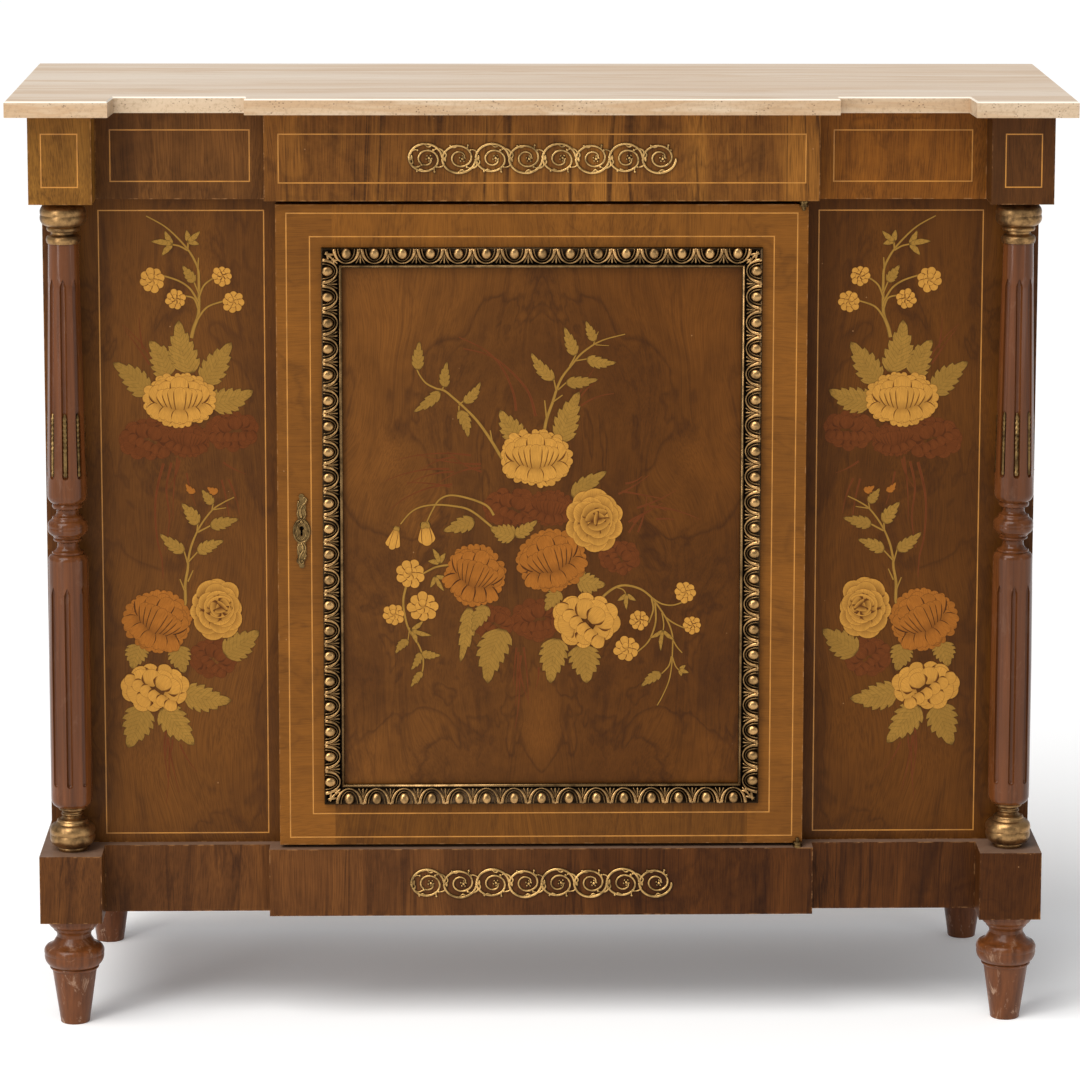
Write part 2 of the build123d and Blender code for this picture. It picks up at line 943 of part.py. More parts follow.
# Knife hinges
x_pivot = x_door - pivot_inset
y_pivot = y_door - pivot_proud


def leaf_plan(back_to):
    """A cranked leaf: a round nose at the pivot, an arm to the back and a foot along the edge."""
    nose = Pos(x_pivot, y_pivot) * Circle(nose_radius)
    arm = Pos(x_pivot, (y_pivot + back_to) / 2) * Rectangle(2 * nose_radius, back_to - y_pivot)
    x0 = x_pivot - leaf_reach
    x1 = x_pivot + nose_radius
    foot_bar = Pos((x0 + x1) / 2, back_to - leaf_width / 2) * Rectangle(x1 - x0, leaf_width)
    return nose + arm + foot_bar


def plate_from(plan, z0, thick):
    return Pos(0, 0, z0) * extrude(plan, thick)


def leaf_back():
    return y_door_back - door_leaf_inset


def fixed_leaf_back():
    return y_panel - fixed_leaf_inset


def hinge_pin(z0, z1):
    """The pin, with a domed end that shows past the door leaf."""
    pin = rod_between((x_pivot, y_pivot, z0), (x_pivot, y_pivot, z1), hinge_pin_radius)
    return pin + Pos(x_pivot, y_pivot, z1) * Sphere(hinge_pin_radius)


def hinge_fixed_leaves():
    """Each fixed leaf carries its pin and a washer collar, and is let on to the plinth or the frieze."""
    low = plate_from(leaf_plan(fixed_leaf_back()), z_floor, leaf_thick)
    low += Pos(x_pivot, y_pivot, z_floor) * Cylinder(
        nose_radius * collar_share, leaf_thick + washer_thick, align=(Align.CENTER, Align.CENTER, Align.MIN)
    )
    low += hinge_pin(z_floor, z_door_low + leaf_thick + pin_tail)
    flip = mirror(low, about=Plane(origin=(0, 0, (z_floor + z_frieze) / 2), z_dir=(0, 0, 1)))
    return [low, flip]


def door_leaf_plan():
    return leaf_plan(leaf_back())


def hinge_door_leaves():
    """The door's own leaves, bored to turn on the pins and let flush into the door's edges."""
    bore = Pos(x_pivot, y_pivot) * Circle(hinge_pin_radius + hinge_play)
    low = plate_from(door_leaf_plan() - bore, z_door_low, leaf_thick)
    high = plate_from(door_leaf_plan() - bore, z_door_high - leaf_thick, leaf_thick)
    return [low, high]


def hinge_seats():
    """The shallow cuts in the door's right stile for its two leaves."""
    cut = 1.0
    return [
        plate_from(door_leaf_plan(), z_door_low - cut, leaf_thick + cut),
        plate_from(door_leaf_plan(), z_door_high - leaf_thick, leaf_thick + cut),
    ]


# Drawer
y_drawer_front = y_mid
y_drawer_back_of_front = y_mid + drawer_front_thick
y_drawer_box_back = y_back - board - drawer_rear_gap
z_drawer = z_frieze + board + drawer_run_gap


def drawer_front():
    front = board_between(
        -x_mid, x_mid, y_drawer_front, y_drawer_back_of_front, z_frieze + drawer_gap, z_stone - 2 * drawer_gap
    )
    return front - drawer_bottom_space(joint_play)


def drawer_bottom_space(play):
    """The bottom panel, or with play the groove that holds it."""
    half = drawer_box_width / 2 - drawer_side_thick + drawer_groove + play
    z0 = z_drawer + drawer_bottom_rise - play
    z1 = z_drawer + drawer_bottom_rise + drawer_bottom_thick + play
    y0 = y_drawer_back_of_front - drawer_groove - play
    return board_between(-half, half, y0, y_drawer_box_back, z0, z1)


def drawer_side():
    half = drawer_box_width / 2
    side = board_between(
        -half,
        -half + drawer_side_thick,
        y_drawer_back_of_front,
        y_drawer_box_back,
        z_drawer,
        z_drawer + drawer_box_height,
    )
    return side - drawer_bottom_space(joint_play)


def drawer_back():
    half = drawer_box_width / 2 - drawer_side_thick
    y0 = y_drawer_box_back - drawer_side_thick
    z0 = z_drawer + drawer_bottom_rise + drawer_bottom_thick
    return board_between(-half, half, y0, y_drawer_box_back, z0, z_drawer + drawer_box_height)


def drawer_bottom():
    return drawer_bottom_space(0)


def drawer_guides():
    """An upright strip beside the drawer with a lip over it, so the drawer runs straight and can't tip."""
    y0 = y_side + top_rail_depth
    y1 = y_back - board
    web = board_between(
        -x_drawer_way - guide_thick, -x_drawer_way, y0, y1, z_frieze + board, z_stone
    )
    lip_low = z_drawer + drawer_box_height + guide_lip_gap
    lip = board_between(-x_drawer_way, -x_drawer_way + guide_lip, y0, y1, lip_low, z_stone)
    left = web + lip
    return [left, mirrored(left)]


# Scroll mounts
def spiral_arcs(radius):
    """The arcs of a volute, each tighter than the last, and the middle of the tightest one."""
    middle = Vector(0, 0)
    start = scroll_start
    arcs = []
    for k in range(scroll_arcs):
        arcs.append(CenterArc(tuple(middle), radius, start, -scroll_arc_sweep))
        start -= scroll_arc_sweep
        step = radius * (1 - scroll_shrink)
        turn = math.radians(start)
        middle += Vector(math.cos(turn), math.sin(turn)) * step
        radius *= scroll_shrink
    return arcs, middle


def scroll(turn):
    """One volute with round buds on its ring. turn is 1 or -1. Also gives the middle of its rosette."""
    ring = mount_height / 2 - scroll_stroke / 2
    arcs, middle = spiral_arcs(ring)
    shape = None
    for arc in arcs:
        band = trace(arc, scroll_stroke)
        shape = band if shape is None else shape + band
    for angle in bud_angles:
        at = math.radians(angle)
        shape += Pos(ring * math.cos(at), ring * math.sin(at)) * Circle(bud_radius)
    bead = Pos(middle.X, middle.Y) * Circle(rosette_radius)
    if turn < 0:
        return mirror(shape, about=Plane.XZ), mirror(bead, about=Plane.XZ)
    return shape, bead


def scroll_mount(z_mid, y_face):
    """A pierced brass casting of volutes that turn up and down by turns, with a rosette in each."""
    pitch = mount_length / scroll_count
    stand = Plane(origin=(0, y_face, z_mid), x_dir=(1, 0, 0), z_dir=(0, -1, 0))
    casting = None
    for k in range(scroll_count):
        x = (k - (scroll_count - 1) / 2) * pitch
        plan, bead = scroll(1 if k % 2 == 0 else -1)
        piece = extrude(stand * Pos(x, 0) * (plan + bead), mount_thick)
        piece += extrude(stand * Pos(x, 0) * bead, rosette_thick)
        if k < scroll_count - 1:
            link = Pos(x + pitch / 2, 0) * Ellipse(link_width / 2, link_height / 2)
            piece += extrude(stand * link, mount_thick)
        casting = piece if casting is None else casting + piece
    return casting


save("stone_top", stone_top())
save_pair("frieze_block", frieze_block())
save_pair("frieze_side_front", frieze_side_front())
save_pair("frieze_side", frieze_side())
save("frieze_board", frieze_board())
save("frieze_back", frieze_back())
save("top_rail", top_rail())
save_pair("plinth_block", plinth_block())
save("plinth_rail", plinth_rail())
save("plinth_front", plinth_front())
save_pair("plinth_side", plinth_side())
save("plinth_back", plinth_back())
save("floor_board", floor_board())
save("rear_foot_blocks", [rear_block(), mirrored(rear_block())])
save_pair("carcass_side", carcass_side())
save("back_panel", back_panel())
save("front_panel_left", front_panel("left"))
save("front_panel_right", front_panel("right"))
save("shelf", shelf())
save("shelf_pegs", shelf_pegs())
save_pair("foot_front", foot(-x_column, y_column))
save_pair("foot_rear", foot(-(x_block - rear_foot_inset), y_back - rear_foot_from_back))
save_pair("column", column())
save_pair("capital", capital())
save_pair("column_base", column_base())
save("flute_inserts", flute_inserts())
save("door_stile_left", door_stile("left"))
save("door_stile_right", door_stile("right"))
save("door_rail_top", door_rail("high"))
save("door_rail_bottom", door_rail("low"))
save("door_panel", door_panel())
save("egg_and_dart", egg_and_dart())
save("key_plate", key_plate())
save("lock_case", lock_case())
save("lock_bolt", lock_bolt())
save("strike_plate", strike_plate())
save("hinge_fixed_leaves", hinge_fixed_leaves())
save("hinge_door_leaves", hinge_door_leaves())
save("drawer_front", drawer_front())
save_pair("drawer_side", drawer_side())
save("drawer_back", drawer_back())
save("drawer_bottom", drawer_bottom())
save("drawer_guides", drawer_guides())
save("drawer_mount", scroll_mount((z_frieze + z_stone) / 2 - mount_drop, y_mid))
save("plinth_mount", scroll_mount((z_plinth + z_floor) / 2 - mount_drop, y_mid))
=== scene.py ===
import itertools
import math
import random
from collections import namedtuple

import bmesh
import bpy
from mathutils import Matrix, Vector


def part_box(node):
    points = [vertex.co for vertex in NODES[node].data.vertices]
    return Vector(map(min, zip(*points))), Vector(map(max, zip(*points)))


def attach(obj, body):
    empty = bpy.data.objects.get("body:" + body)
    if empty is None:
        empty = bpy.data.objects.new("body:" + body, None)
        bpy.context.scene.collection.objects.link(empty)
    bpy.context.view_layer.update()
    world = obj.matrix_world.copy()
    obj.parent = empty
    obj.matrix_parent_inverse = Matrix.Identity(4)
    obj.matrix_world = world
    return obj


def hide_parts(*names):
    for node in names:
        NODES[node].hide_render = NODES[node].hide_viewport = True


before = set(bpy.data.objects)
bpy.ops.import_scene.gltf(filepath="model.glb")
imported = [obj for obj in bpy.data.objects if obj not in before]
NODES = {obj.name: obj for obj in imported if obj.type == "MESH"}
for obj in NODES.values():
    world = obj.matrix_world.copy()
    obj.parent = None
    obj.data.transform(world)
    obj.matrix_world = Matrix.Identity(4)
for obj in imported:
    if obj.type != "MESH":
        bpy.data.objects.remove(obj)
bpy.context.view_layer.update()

bl_info = {
    "name": "Breakfront side cabinet",
    "version": (1, 0, 0),
    "blender": (4, 5, 0),
    "location": "3D View > Sidebar > Cabinet",
    "description": "Veneers, marquetry, brass and stone for a breakfront side cabinet",
    "category": "Object",
}

MM = 0.001
DOOR_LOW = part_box("door_stile_left")[0]
DOOR_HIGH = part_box("door_stile_right")[1]
DOOR_MIDDLE = (DOOR_LOW.z + DOOR_HIGH.z) / 2
FIELD_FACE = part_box("door_panel")[0].y
PANEL_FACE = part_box("front_panel_left")[0].y


def shown(red, green, blue):
    """A colour as it is seen on a screen, 0 to 255, as the linear values that a shader takes."""
    return tuple(((c / 255 + 0.055) / 1.055) ** 2.4 if c > 10 else c / 3295 for c in (red, green, blue))


def colour(name, what, rgb):
    return bpy.props.FloatVectorProperty(
        name=name, description=what, subtype="COLOR", size=3, min=0, max=1, default=shown(*rgb)
    )


def length(name, what, millimetres):
    return bpy.props.FloatProperty(
        name=name, description=what, default=millimetres * MM, min=0, precision=5,
        unit="LENGTH", subtype="DISTANCE"
    )


class CabinetColours(bpy.types.PropertyGroup):
    """The colours of the cabinet's finishes."""

    walnut: colour("Walnut", "Middle tone of the frieze and plinth veneer", (118, 72, 27))
    walnut_dark: colour("Walnut streak", "Dark streaks in the veneer", (52, 28, 12))
    walnut_light: colour("Walnut light", "Light bands in the veneer", (152, 98, 38))
    border: colour("Door border", "Middle tone of the crossbanding on the door", (127, 78, 26))
    ground: colour("Marquetry ground", "Middle tone of the veneer behind the flowers", (105, 63, 22))
    golden: colour("Golden walnut", "Frieze block on the left", (136, 90, 33))
    golden_light: colour("Golden light", "Light bands of the golden walnut", (158, 108, 42))
    amber: colour("Amber walnut", "Recessed frieze on the right", (136, 80, 24))
    amber_light: colour("Amber light", "Light bands of the amber walnut", (154, 94, 30))
    brown: colour("Brown walnut", "Recessed frieze on the left and frieze sides", (100, 62, 26))
    brown_light: colour("Brown light", "Light bands of the brown walnut", (124, 78, 34))
    deep: colour("Deep walnut", "Frieze block on the right", (84, 50, 20))
    deep_light: colour("Deep light", "Light bands of the deep walnut", (100, 60, 26))
    plinth: colour("Plinth walnut", "Plinth and floor board", (96, 57, 25))
    plinth_light: colour("Plinth light", "Light bands of the plinth walnut", (118, 72, 32))
    side: colour("Side walnut", "Carcass sides", (92, 54, 25))
    side_light: colour("Side light", "Light bands of the side walnut", (112, 68, 30))
    boxwood: colour("Boxwood", "Stringing lines", (188, 124, 38))
    bloom: colour("Yellow bloom", "Light wood of the large flowers", (194, 138, 58))
    orange: colour("Orange bloom", "Reddish wood of the large flowers", (158, 95, 32))
    leaf: colour("Leaf", "Greenish wood of leaves and stems", (152, 112, 46))
    shadow_bloom: colour("Dark bloom", "Red-brown wood of the flowers in shade", (106, 55, 20))
    grass: colour("Grass", "Thin reddish lines behind the flowers", (102, 50, 20))
    mahogany: colour("Mahogany", "Columns and feet", (98, 54, 24))
    secondary: colour("Secondary wood", "Unpolished wood inside", (176, 138, 96))
    stone: colour("Stone", "Cream of the travertine", (242, 225, 205))
    stone_band: colour("Stone band", "Tan bands in the travertine", (222, 192, 160))
    brass: colour("Old brass", "Capitals and bases of the columns", (158, 122, 78))
    antique: colour("Antique brass", "Egg-and-dart moulding", (186, 146, 94))
    gilt: colour("Gilt brass", "Scroll mounts and keyhole plate", (212, 170, 106))
    steel: colour("Steel", "Lock bolt", (150, 148, 144))
    floor: colour("Floor", "Studio floor", (252, 252, 252))


class CabinetSizes(bpy.types.PropertyGroup):
    """The sizes of the applied work."""

    string_width: length("String width", "Width of a boxwood string", 1.35)
    string_rise: length("String rise", "How far a string stands above the veneer", 0.05)
    layer: length("Veneer layer", "Step from one piece of marquetry to the one over it", 0.012)
    outline: length("Outline", "Width of the dark edge of a marquetry piece", 0.62)
    mount_wire: length("Mount wire", "Thickness of the scrolls of the mounts", 3.1)
    eggs_across: bpy.props.IntProperty(
        name="Eggs across", description="Eggs in a short length", default=15, min=1
    )
    eggs_up: bpy.props.IntProperty(name="Eggs up", description="Eggs in a long length", default=21, min=1)


WORN_EDGE = shown(170, 122, 76)
NICK = shown(176, 130, 84)
DUST = shown(128, 102, 84)
SCUFF = shown(176, 142, 116)
STONE_PIT = shown(92, 66, 44)
# Painted highlight on the stone's rounded edges.
STONE_ARRIS_HIGHLIGHT = shown(250, 240, 224)


def colours():
    return bpy.context.scene.cabinet_colours


def sizes():
    return bpy.context.scene.cabinet_sizes


def shade(tone, factor):
    """The same colour, darker or lighter."""
    return tuple(min(1.0, c * factor) for c in tone[:3])


def blend_of(a, b, share):
    return tuple(x + (y - x) * share for x, y in zip(a[:3], b[:3]))


class Finish:
    """A material under construction, with short calls for the nodes it needs."""

    def __init__(self, name):
        self.material = bpy.data.materials.new(name)
        self.material.use_nodes = True
        self.tree = self.material.node_tree
        self.surface = self.tree.nodes["Principled BSDF"]

    def node(self, kind, values=(), **settings):
        made = self.tree.nodes.new("ShaderNode" + kind)
        for key, value in settings.items():
            setattr(made, key, value)
        for key, value in dict(values).items():
            if isinstance(value, bpy.types.NodeSocket):
                self.tree.links.new(value, made.inputs[key])
            elif value is not None:
                made.inputs[key].default_value = value
        return made

    def place(self, scale=(1, 1, 1), turn=(0, 0, 0), shift=(0, 0, 0), source=None):
        """Where a point is on the piece, in metres, stretched and turned."""
        if source is None:
            source = self.node("TexCoord").outputs["Object"]
        made = self.node("Mapping", {"Vector": source, "Location": shift, "Rotation": turn, "Scale": scale})
        return made.outputs["Vector"]

    def noise(self, place, scale=1.0, detail=3.0, rough=0.5, warp=0.0):
        values = {"Vector": place, "Scale": scale, "Detail": detail, "Roughness": rough, "Distortion": warp}
        return self.node("TexNoise", values).outputs["Fac"]

    def ramp(self, factor, *stops):
        """A colour ramp. Each stop is a position and a colour or a grey."""
        made = self.node("ValToRGB", {"Fac": factor})
        points = made.color_ramp.elements
        while len(points) < len(stops):
            points.new(0.5)
        for point, (position, tone) in zip(points, stops):
            point.position = position
            point.color = (*tone[:3], 1) if hasattr(tone, "__len__") else (tone, tone, tone, 1)
        return made.outputs["Color"]

    def mix(self, factor, a, b, how="MIX"):
        made = self.node("Mix", {0: factor}, data_type="RGBA", blend_type=how)
        for index, value in ((6, a), (7, b)):
            if isinstance(value, bpy.types.NodeSocket):
                self.tree.links.new(value, made.inputs[index])
            else:
                made.inputs[index].default_value = (*value[:3], 1)
        return made.outputs[2]

    def math(self, how, a, b=0.0, clamp=False):
        return self.node("Math", {0: a, 1: b}, operation=how, use_clamp=clamp).outputs[0]

    def vector(self, how, a, b=None):
        return self.node("VectorMath", {0: a, 1: b}, operation=how).outputs[0]

    def part(self, vector, axis):
        return self.node("SeparateXYZ", {0: vector}).outputs[axis]

    def own(self, name, kind="GEOMETRY"):
        """A value that the mesh or the object carries with it."""
        return self.node("Attribute", attribute_name=name, attribute_type=kind)

    def edge(self, reach):
        """1 at the edges of the box that the object is told it has, 0 further in than reach."""
        place = self.node("TexCoord").outputs["Object"]
        from_middle = self.vector("SUBTRACT", place, self.own("box_mid", "OBJECT").outputs["Vector"])
        away = self.vector("ABSOLUTE", from_middle)
        depth = self.vector("SUBTRACT", self.own("box_half", "OBJECT").outputs["Vector"], away)
        x, y, z = (self.part(depth, axis) for axis in range(3))
        low = self.math("MINIMUM", x, y)
        high = self.math("MAXIMUM", x, y)
        second = self.math("MAXIMUM", low, self.math("MINIMUM", high, z))
        return self.node(
            "MapRange", {"Value": second, "From Min": 0.0, "From Max": reach, "To Min": 1.0, "To Max": 0.0}
        ).outputs["Result"]

    def facing(self, axis):
        """How far the surface faces along an axis, in the object's own frame."""
        turned = self.node(
            "VectorTransform",
            {"Vector": self.node("NewGeometry").outputs["Normal"]},
            vector_type="NORMAL",
            convert_from="WORLD",
            convert_to="OBJECT",
        )
        return self.part(turned.outputs["Vector"], axis)

    def bump(self, height, strength, distance, under=None):
        values = {"Height": height, "Strength": strength, "Distance": distance, "Normal": under}
        return self.node("Bump", values).outputs["Normal"]

    def done(self, tone, roughness, normal=None, **fixed):
        """Joins colour, roughness and bump to the surface. The fixed values go straight on its sockets."""
        for key, value in (("Base Color", tone), ("Roughness", roughness), ("Normal", normal)):
            if isinstance(value, bpy.types.NodeSocket):
                self.tree.links.new(value, self.surface.inputs[key])
            elif value is not None:
                self.surface.inputs[key].default_value = value
        for key, value in fixed.items():
            self.surface.inputs[key.replace("_", " ")].default_value = value
        return self.material


def veneer_place(finish, along, seed, match, figure):
    """Places in a sheet of veneer, its grain bent by the figure. A match mirrors it about the middle."""
    base = finish.node("TexCoord").outputs["Object"]
    if match:
        apart = finish.node("SeparateXYZ", {0: base})
        flipped = finish.math("ABSOLUTE", apart.outputs[0])
        base = finish.node("CombineXYZ", {0: flipped, 1: apart.outputs[1], 2: apart.outputs[2]}).outputs[0]
    if along == "X":
        base = finish.place(turn=(0, math.pi / 2, 0), source=base)
    base = finish.place(shift=(seed, seed * 0.7, seed * 1.3), source=base)
    drift_place = finish.place(scale=(5, 5, 2.2), source=base)
    drift = finish.node("TexNoise", {"Vector": drift_place, "Scale": 1.0, "Detail": 2.0}).outputs["Color"]
    moved = finish.vector("SUBTRACT", drift, (0.5, 0.5, 0.5))
    pushed = finish.node("VectorMath", {0: moved, "Scale": 0.09 * figure}, operation="SCALE").outputs[0]
    return finish.vector("ADD", base, pushed)


def veneer_wear(finish, tone, mottle, dust):
    """Rubbed and chipped edges, dust on the faces that look up, and small nicks."""
    rim = finish.edge(1.6 * MM)
    chip = finish.ramp(finish.noise(finish.place(), scale=90, detail=4, rough=0.7), (0.5, 0.0), (0.62, 1.0))
    worn = finish.math("MULTIPLY", rim, finish.math("MULTIPLY", chip, 0.6))
    tone = finish.mix(worn, tone, WORN_EDGE)
    if dust:
        up = finish.ramp(finish.facing(2), (0.8, 0.0), (0.95, dust))
        lying = finish.math("MULTIPLY", up, finish.math("ADD", mottle, 0.45))
        tone = finish.mix(lying, tone, DUST)
    cells = {"Vector": finish.place(), "Scale": 30.0}
    nick = finish.node("TexVoronoi", cells, feature="F1").outputs["Distance"]
    return finish.mix(finish.ramp(nick, (0.016, 0.5), (0.03, 0.0)), tone, NICK)


def veneer(name, mid, light, dark, along="Z", streaks=0.5, figure=1.0, seed=0.0, match=False, dust=0.0,
           cloudy=0.6, grain=1.0, right=None, gloss=0.42):
    """Sliced veneer under old polish. right is painted shade: a darker tint over the cabinet's right side,
    where less light falls.
    """
    finish = Finish(name)
    base = veneer_place(finish, along, seed, match, figure)
    bands = finish.noise(finish.place(scale=(46, 46, 2.2), source=base), detail=4, rough=0.55, warp=0.4)
    cloud = finish.noise(finish.place(scale=(7, 7, 4.0), source=base), detail=4, rough=0.6, warp=0.5)
    low_band, high_band = blend_of(mid, dark, 0.4 * grain), blend_of(mid, light, grain)
    tone = finish.ramp(bands, (0.28, low_band), (0.47, mid), (0.7, high_band))
    tone = finish.mix(finish.ramp(cloud, (0.42, 0.0), (0.66, cloudy)), tone, blend_of(mid, dark, 0.6))
    tone = finish.mix(finish.ramp(cloud, (0.30, cloudy), (0.46, 0.0)), tone, light)
    edge_of_cloud = finish.ramp(cloud, (0.49, 0.0), (0.515, 0.55 * cloudy), (0.53, 0.0))
    tone = finish.mix(edge_of_cloud, tone, dark)
    lines = finish.noise(finish.place(scale=(30, 30, 0.9), source=base), detail=3, rough=0.6, warp=0.8)
    streak = finish.ramp(lines, (0.55, 0.0), (0.60, streaks), (0.63, 0.0))
    tone = finish.mix(streak, tone, dark)
    wide_lines = finish.noise(finish.place(scale=(12, 12, 0.6), source=base), detail=2)
    broad = finish.ramp(wide_lines, (0.62, 0.0), (0.75, 0.8))
    tone = finish.mix(finish.math("MULTIPLY", broad, streaks), tone, blend_of(dark, mid, 0.3))
    fine = finish.noise(finish.place(scale=(1100, 1100, 22), source=base), detail=2)
    tone = finish.mix(finish.ramp(fine, (0.32, 0.2 + 0.35 * grain), (0.6, 0.0)), tone, shade(dark, 0.9))
    mottle = finish.noise(finish.place(), scale=60, detail=4, rough=0.7)
    tone = finish.mix(finish.ramp(mottle, (0.42, 0.0), (0.8, 0.25)), tone, light)
    # Painted shade: the cabinet's right side is tinted darker, as if less light reached it.
    if right:
        far = finish.ramp(finish.part(finish.place(shift=(0.5, 0, 0)), 0), (0.38, 0.0), (0.6, 1.0))
        tone = finish.mix(far, tone, finish.mix(1.0, tone, right, "MULTIPLY"))
    tone = veneer_wear(finish, tone, mottle, dust)
    smear = finish.noise(finish.place(), scale=14, detail=3)
    rough = finish.ramp(smear, (0.3, gloss - 0.08), (0.7, gloss + 0.1))
    relief = finish.bump(fine, 0.12, 0.25 * MM, finish.bump(bands, 0.06, 0.6 * MM))
    return finish.done(tone, rough, relief, Specular_IOR_Level=0.09)


def marquetry_wood(name, tone, outline, veins=0.0, streak=0.35):
    """A piece of coloured veneer: its own grain, a scorched dark edge and, on leaves, side veins."""
    finish = Finish(name)
    grain = finish.own("grain").outputs["Vector"]
    long_grain = finish.noise(finish.place(scale=(90, 1100, 1), source=grain), detail=3, rough=0.6)
    soft = finish.noise(finish.place(scale=(60, 160, 1), source=grain), detail=2)
    wood = finish.ramp(long_grain, (0.3, shade(tone, 0.72)), (0.5, tone), (0.72, shade(tone, 1.16)))
    wood = finish.mix(finish.ramp(soft, (0.35, 0.0), (0.7, streak)), wood, shade(tone, 0.62))
    if veins:
        apart = finish.node("SeparateXYZ", {0: grain})
        side = finish.math("ABSOLUTE", apart.outputs[1])
        rise = finish.math("SUBTRACT", apart.outputs[0], finish.math("MULTIPLY", side, 0.8))
        wave = finish.math("PINGPONG", rise, 2.6 * MM)
        vein = finish.ramp(finish.math("DIVIDE", wave, 2.6 * MM), (0.0, veins), (0.16, 0.0))
        wood = finish.mix(vein, wood, outline)
    tint = finish.own("tint").outputs["Fac"]
    wood = finish.mix(tint, wood, shade(tone, 0.66))
    edge = finish.own("shade").outputs["Fac"]
    wood = finish.mix(finish.ramp(edge, (0.15, 1.0), (0.85, 0.0)), wood, outline)
    rough = finish.ramp(soft, (0.3, 0.38), (0.7, 0.5))
    return finish.done(wood, rough, finish.bump(long_grain, 0.12, 0.2 * MM), Specular_IOR_Level=0.09)


def turned_wood(name, tone, gloss, scuffs):
    """Polished turned wood: vertical grain, a clear coat and scuffs."""
    finish = Finish(name)
    grain = finish.noise(finish.place(scale=(160, 160, 5)), detail=4, rough=0.6)
    wood = finish.ramp(grain, (0.3, shade(tone, 0.6)), (0.5, tone), (0.72, shade(tone, 1.35)))
    cloud = finish.noise(finish.place(scale=(14, 14, 5)), detail=3)
    wood = finish.mix(finish.ramp(cloud, (0.4, 0.0), (0.75, 0.5)), wood, shade(tone, 0.6))
    scrape = finish.noise(finish.place(scale=(70, 70, 34)), detail=5, rough=0.75, warp=0.6)
    worn = finish.ramp(scrape, (0.56, 0.0), (0.68, scuffs))
    low = finish.ramp(finish.part(finish.place(), 2), (0.0, 1.0), (0.1, 0.35), (0.3, 0.12))
    wood = finish.mix(finish.math("MULTIPLY", worn, low), wood, SCUFF)
    rough = finish.mix(finish.math("MULTIPLY", worn, low), (gloss, gloss, gloss), (0.6, 0.6, 0.6))
    relief = finish.bump(grain, 0.05, 0.3 * MM, finish.bump(scrape, 0.08, 0.5 * MM))
    coat = {"Coat_Weight": 0.28, "Coat_Roughness": 0.12, "Coat_IOR": 1.45}
    return finish.done(wood, rough, relief, Specular_IOR_Level=0.15, **coat)


def old_brass(name, tone, dark, roughness, patina, shaded=False, painted_flank_shade=0.0):
    """Brass with brown patina in blotches and, where asked for, darker where each point's shade is low, as
    patina in its hollows and painted shade on its relief, and painted shade on the sides that turn away from
    the front.
    """
    finish = Finish(name)
    blotch = finish.noise(finish.place(), scale=70, detail=5, rough=0.65)
    speck = finish.noise(finish.place(), scale=420, detail=3)
    dull = blend_of(tone, dark, patina)
    metal = finish.ramp(blotch, (0.36, dull), (0.55, tone), (0.75, shade(tone, 1.25)))
    metal = finish.mix(finish.ramp(speck, (0.58, 0.0), (0.7, 0.5 * patina)), metal, dark)
    # Patina and painted shade: darker where a point's shade is low, in hollows and on the back of the relief.
    if shaded:
        patina_and_shade = finish.ramp(finish.own("shade").outputs["Fac"], (0.1, 1.0), (0.8, 0.0))
        metal = finish.mix(patina_and_shade, metal, dark)
    # Painted shade: the sides that turn away from the front are darkened, so the ridges read bright.
    if painted_flank_shade:
        front = finish.math("ABSOLUTE", finish.facing(1))
        metal = finish.mix(finish.ramp(front, (0.35, painted_flank_shade), (0.88, 0.0)), metal, dark)
    rough = finish.ramp(blotch, (0.35, roughness + 0.14), (0.7, roughness))
    return finish.done(metal, rough, finish.bump(speck, 0.08, 0.2 * MM), Metallic=0.95)


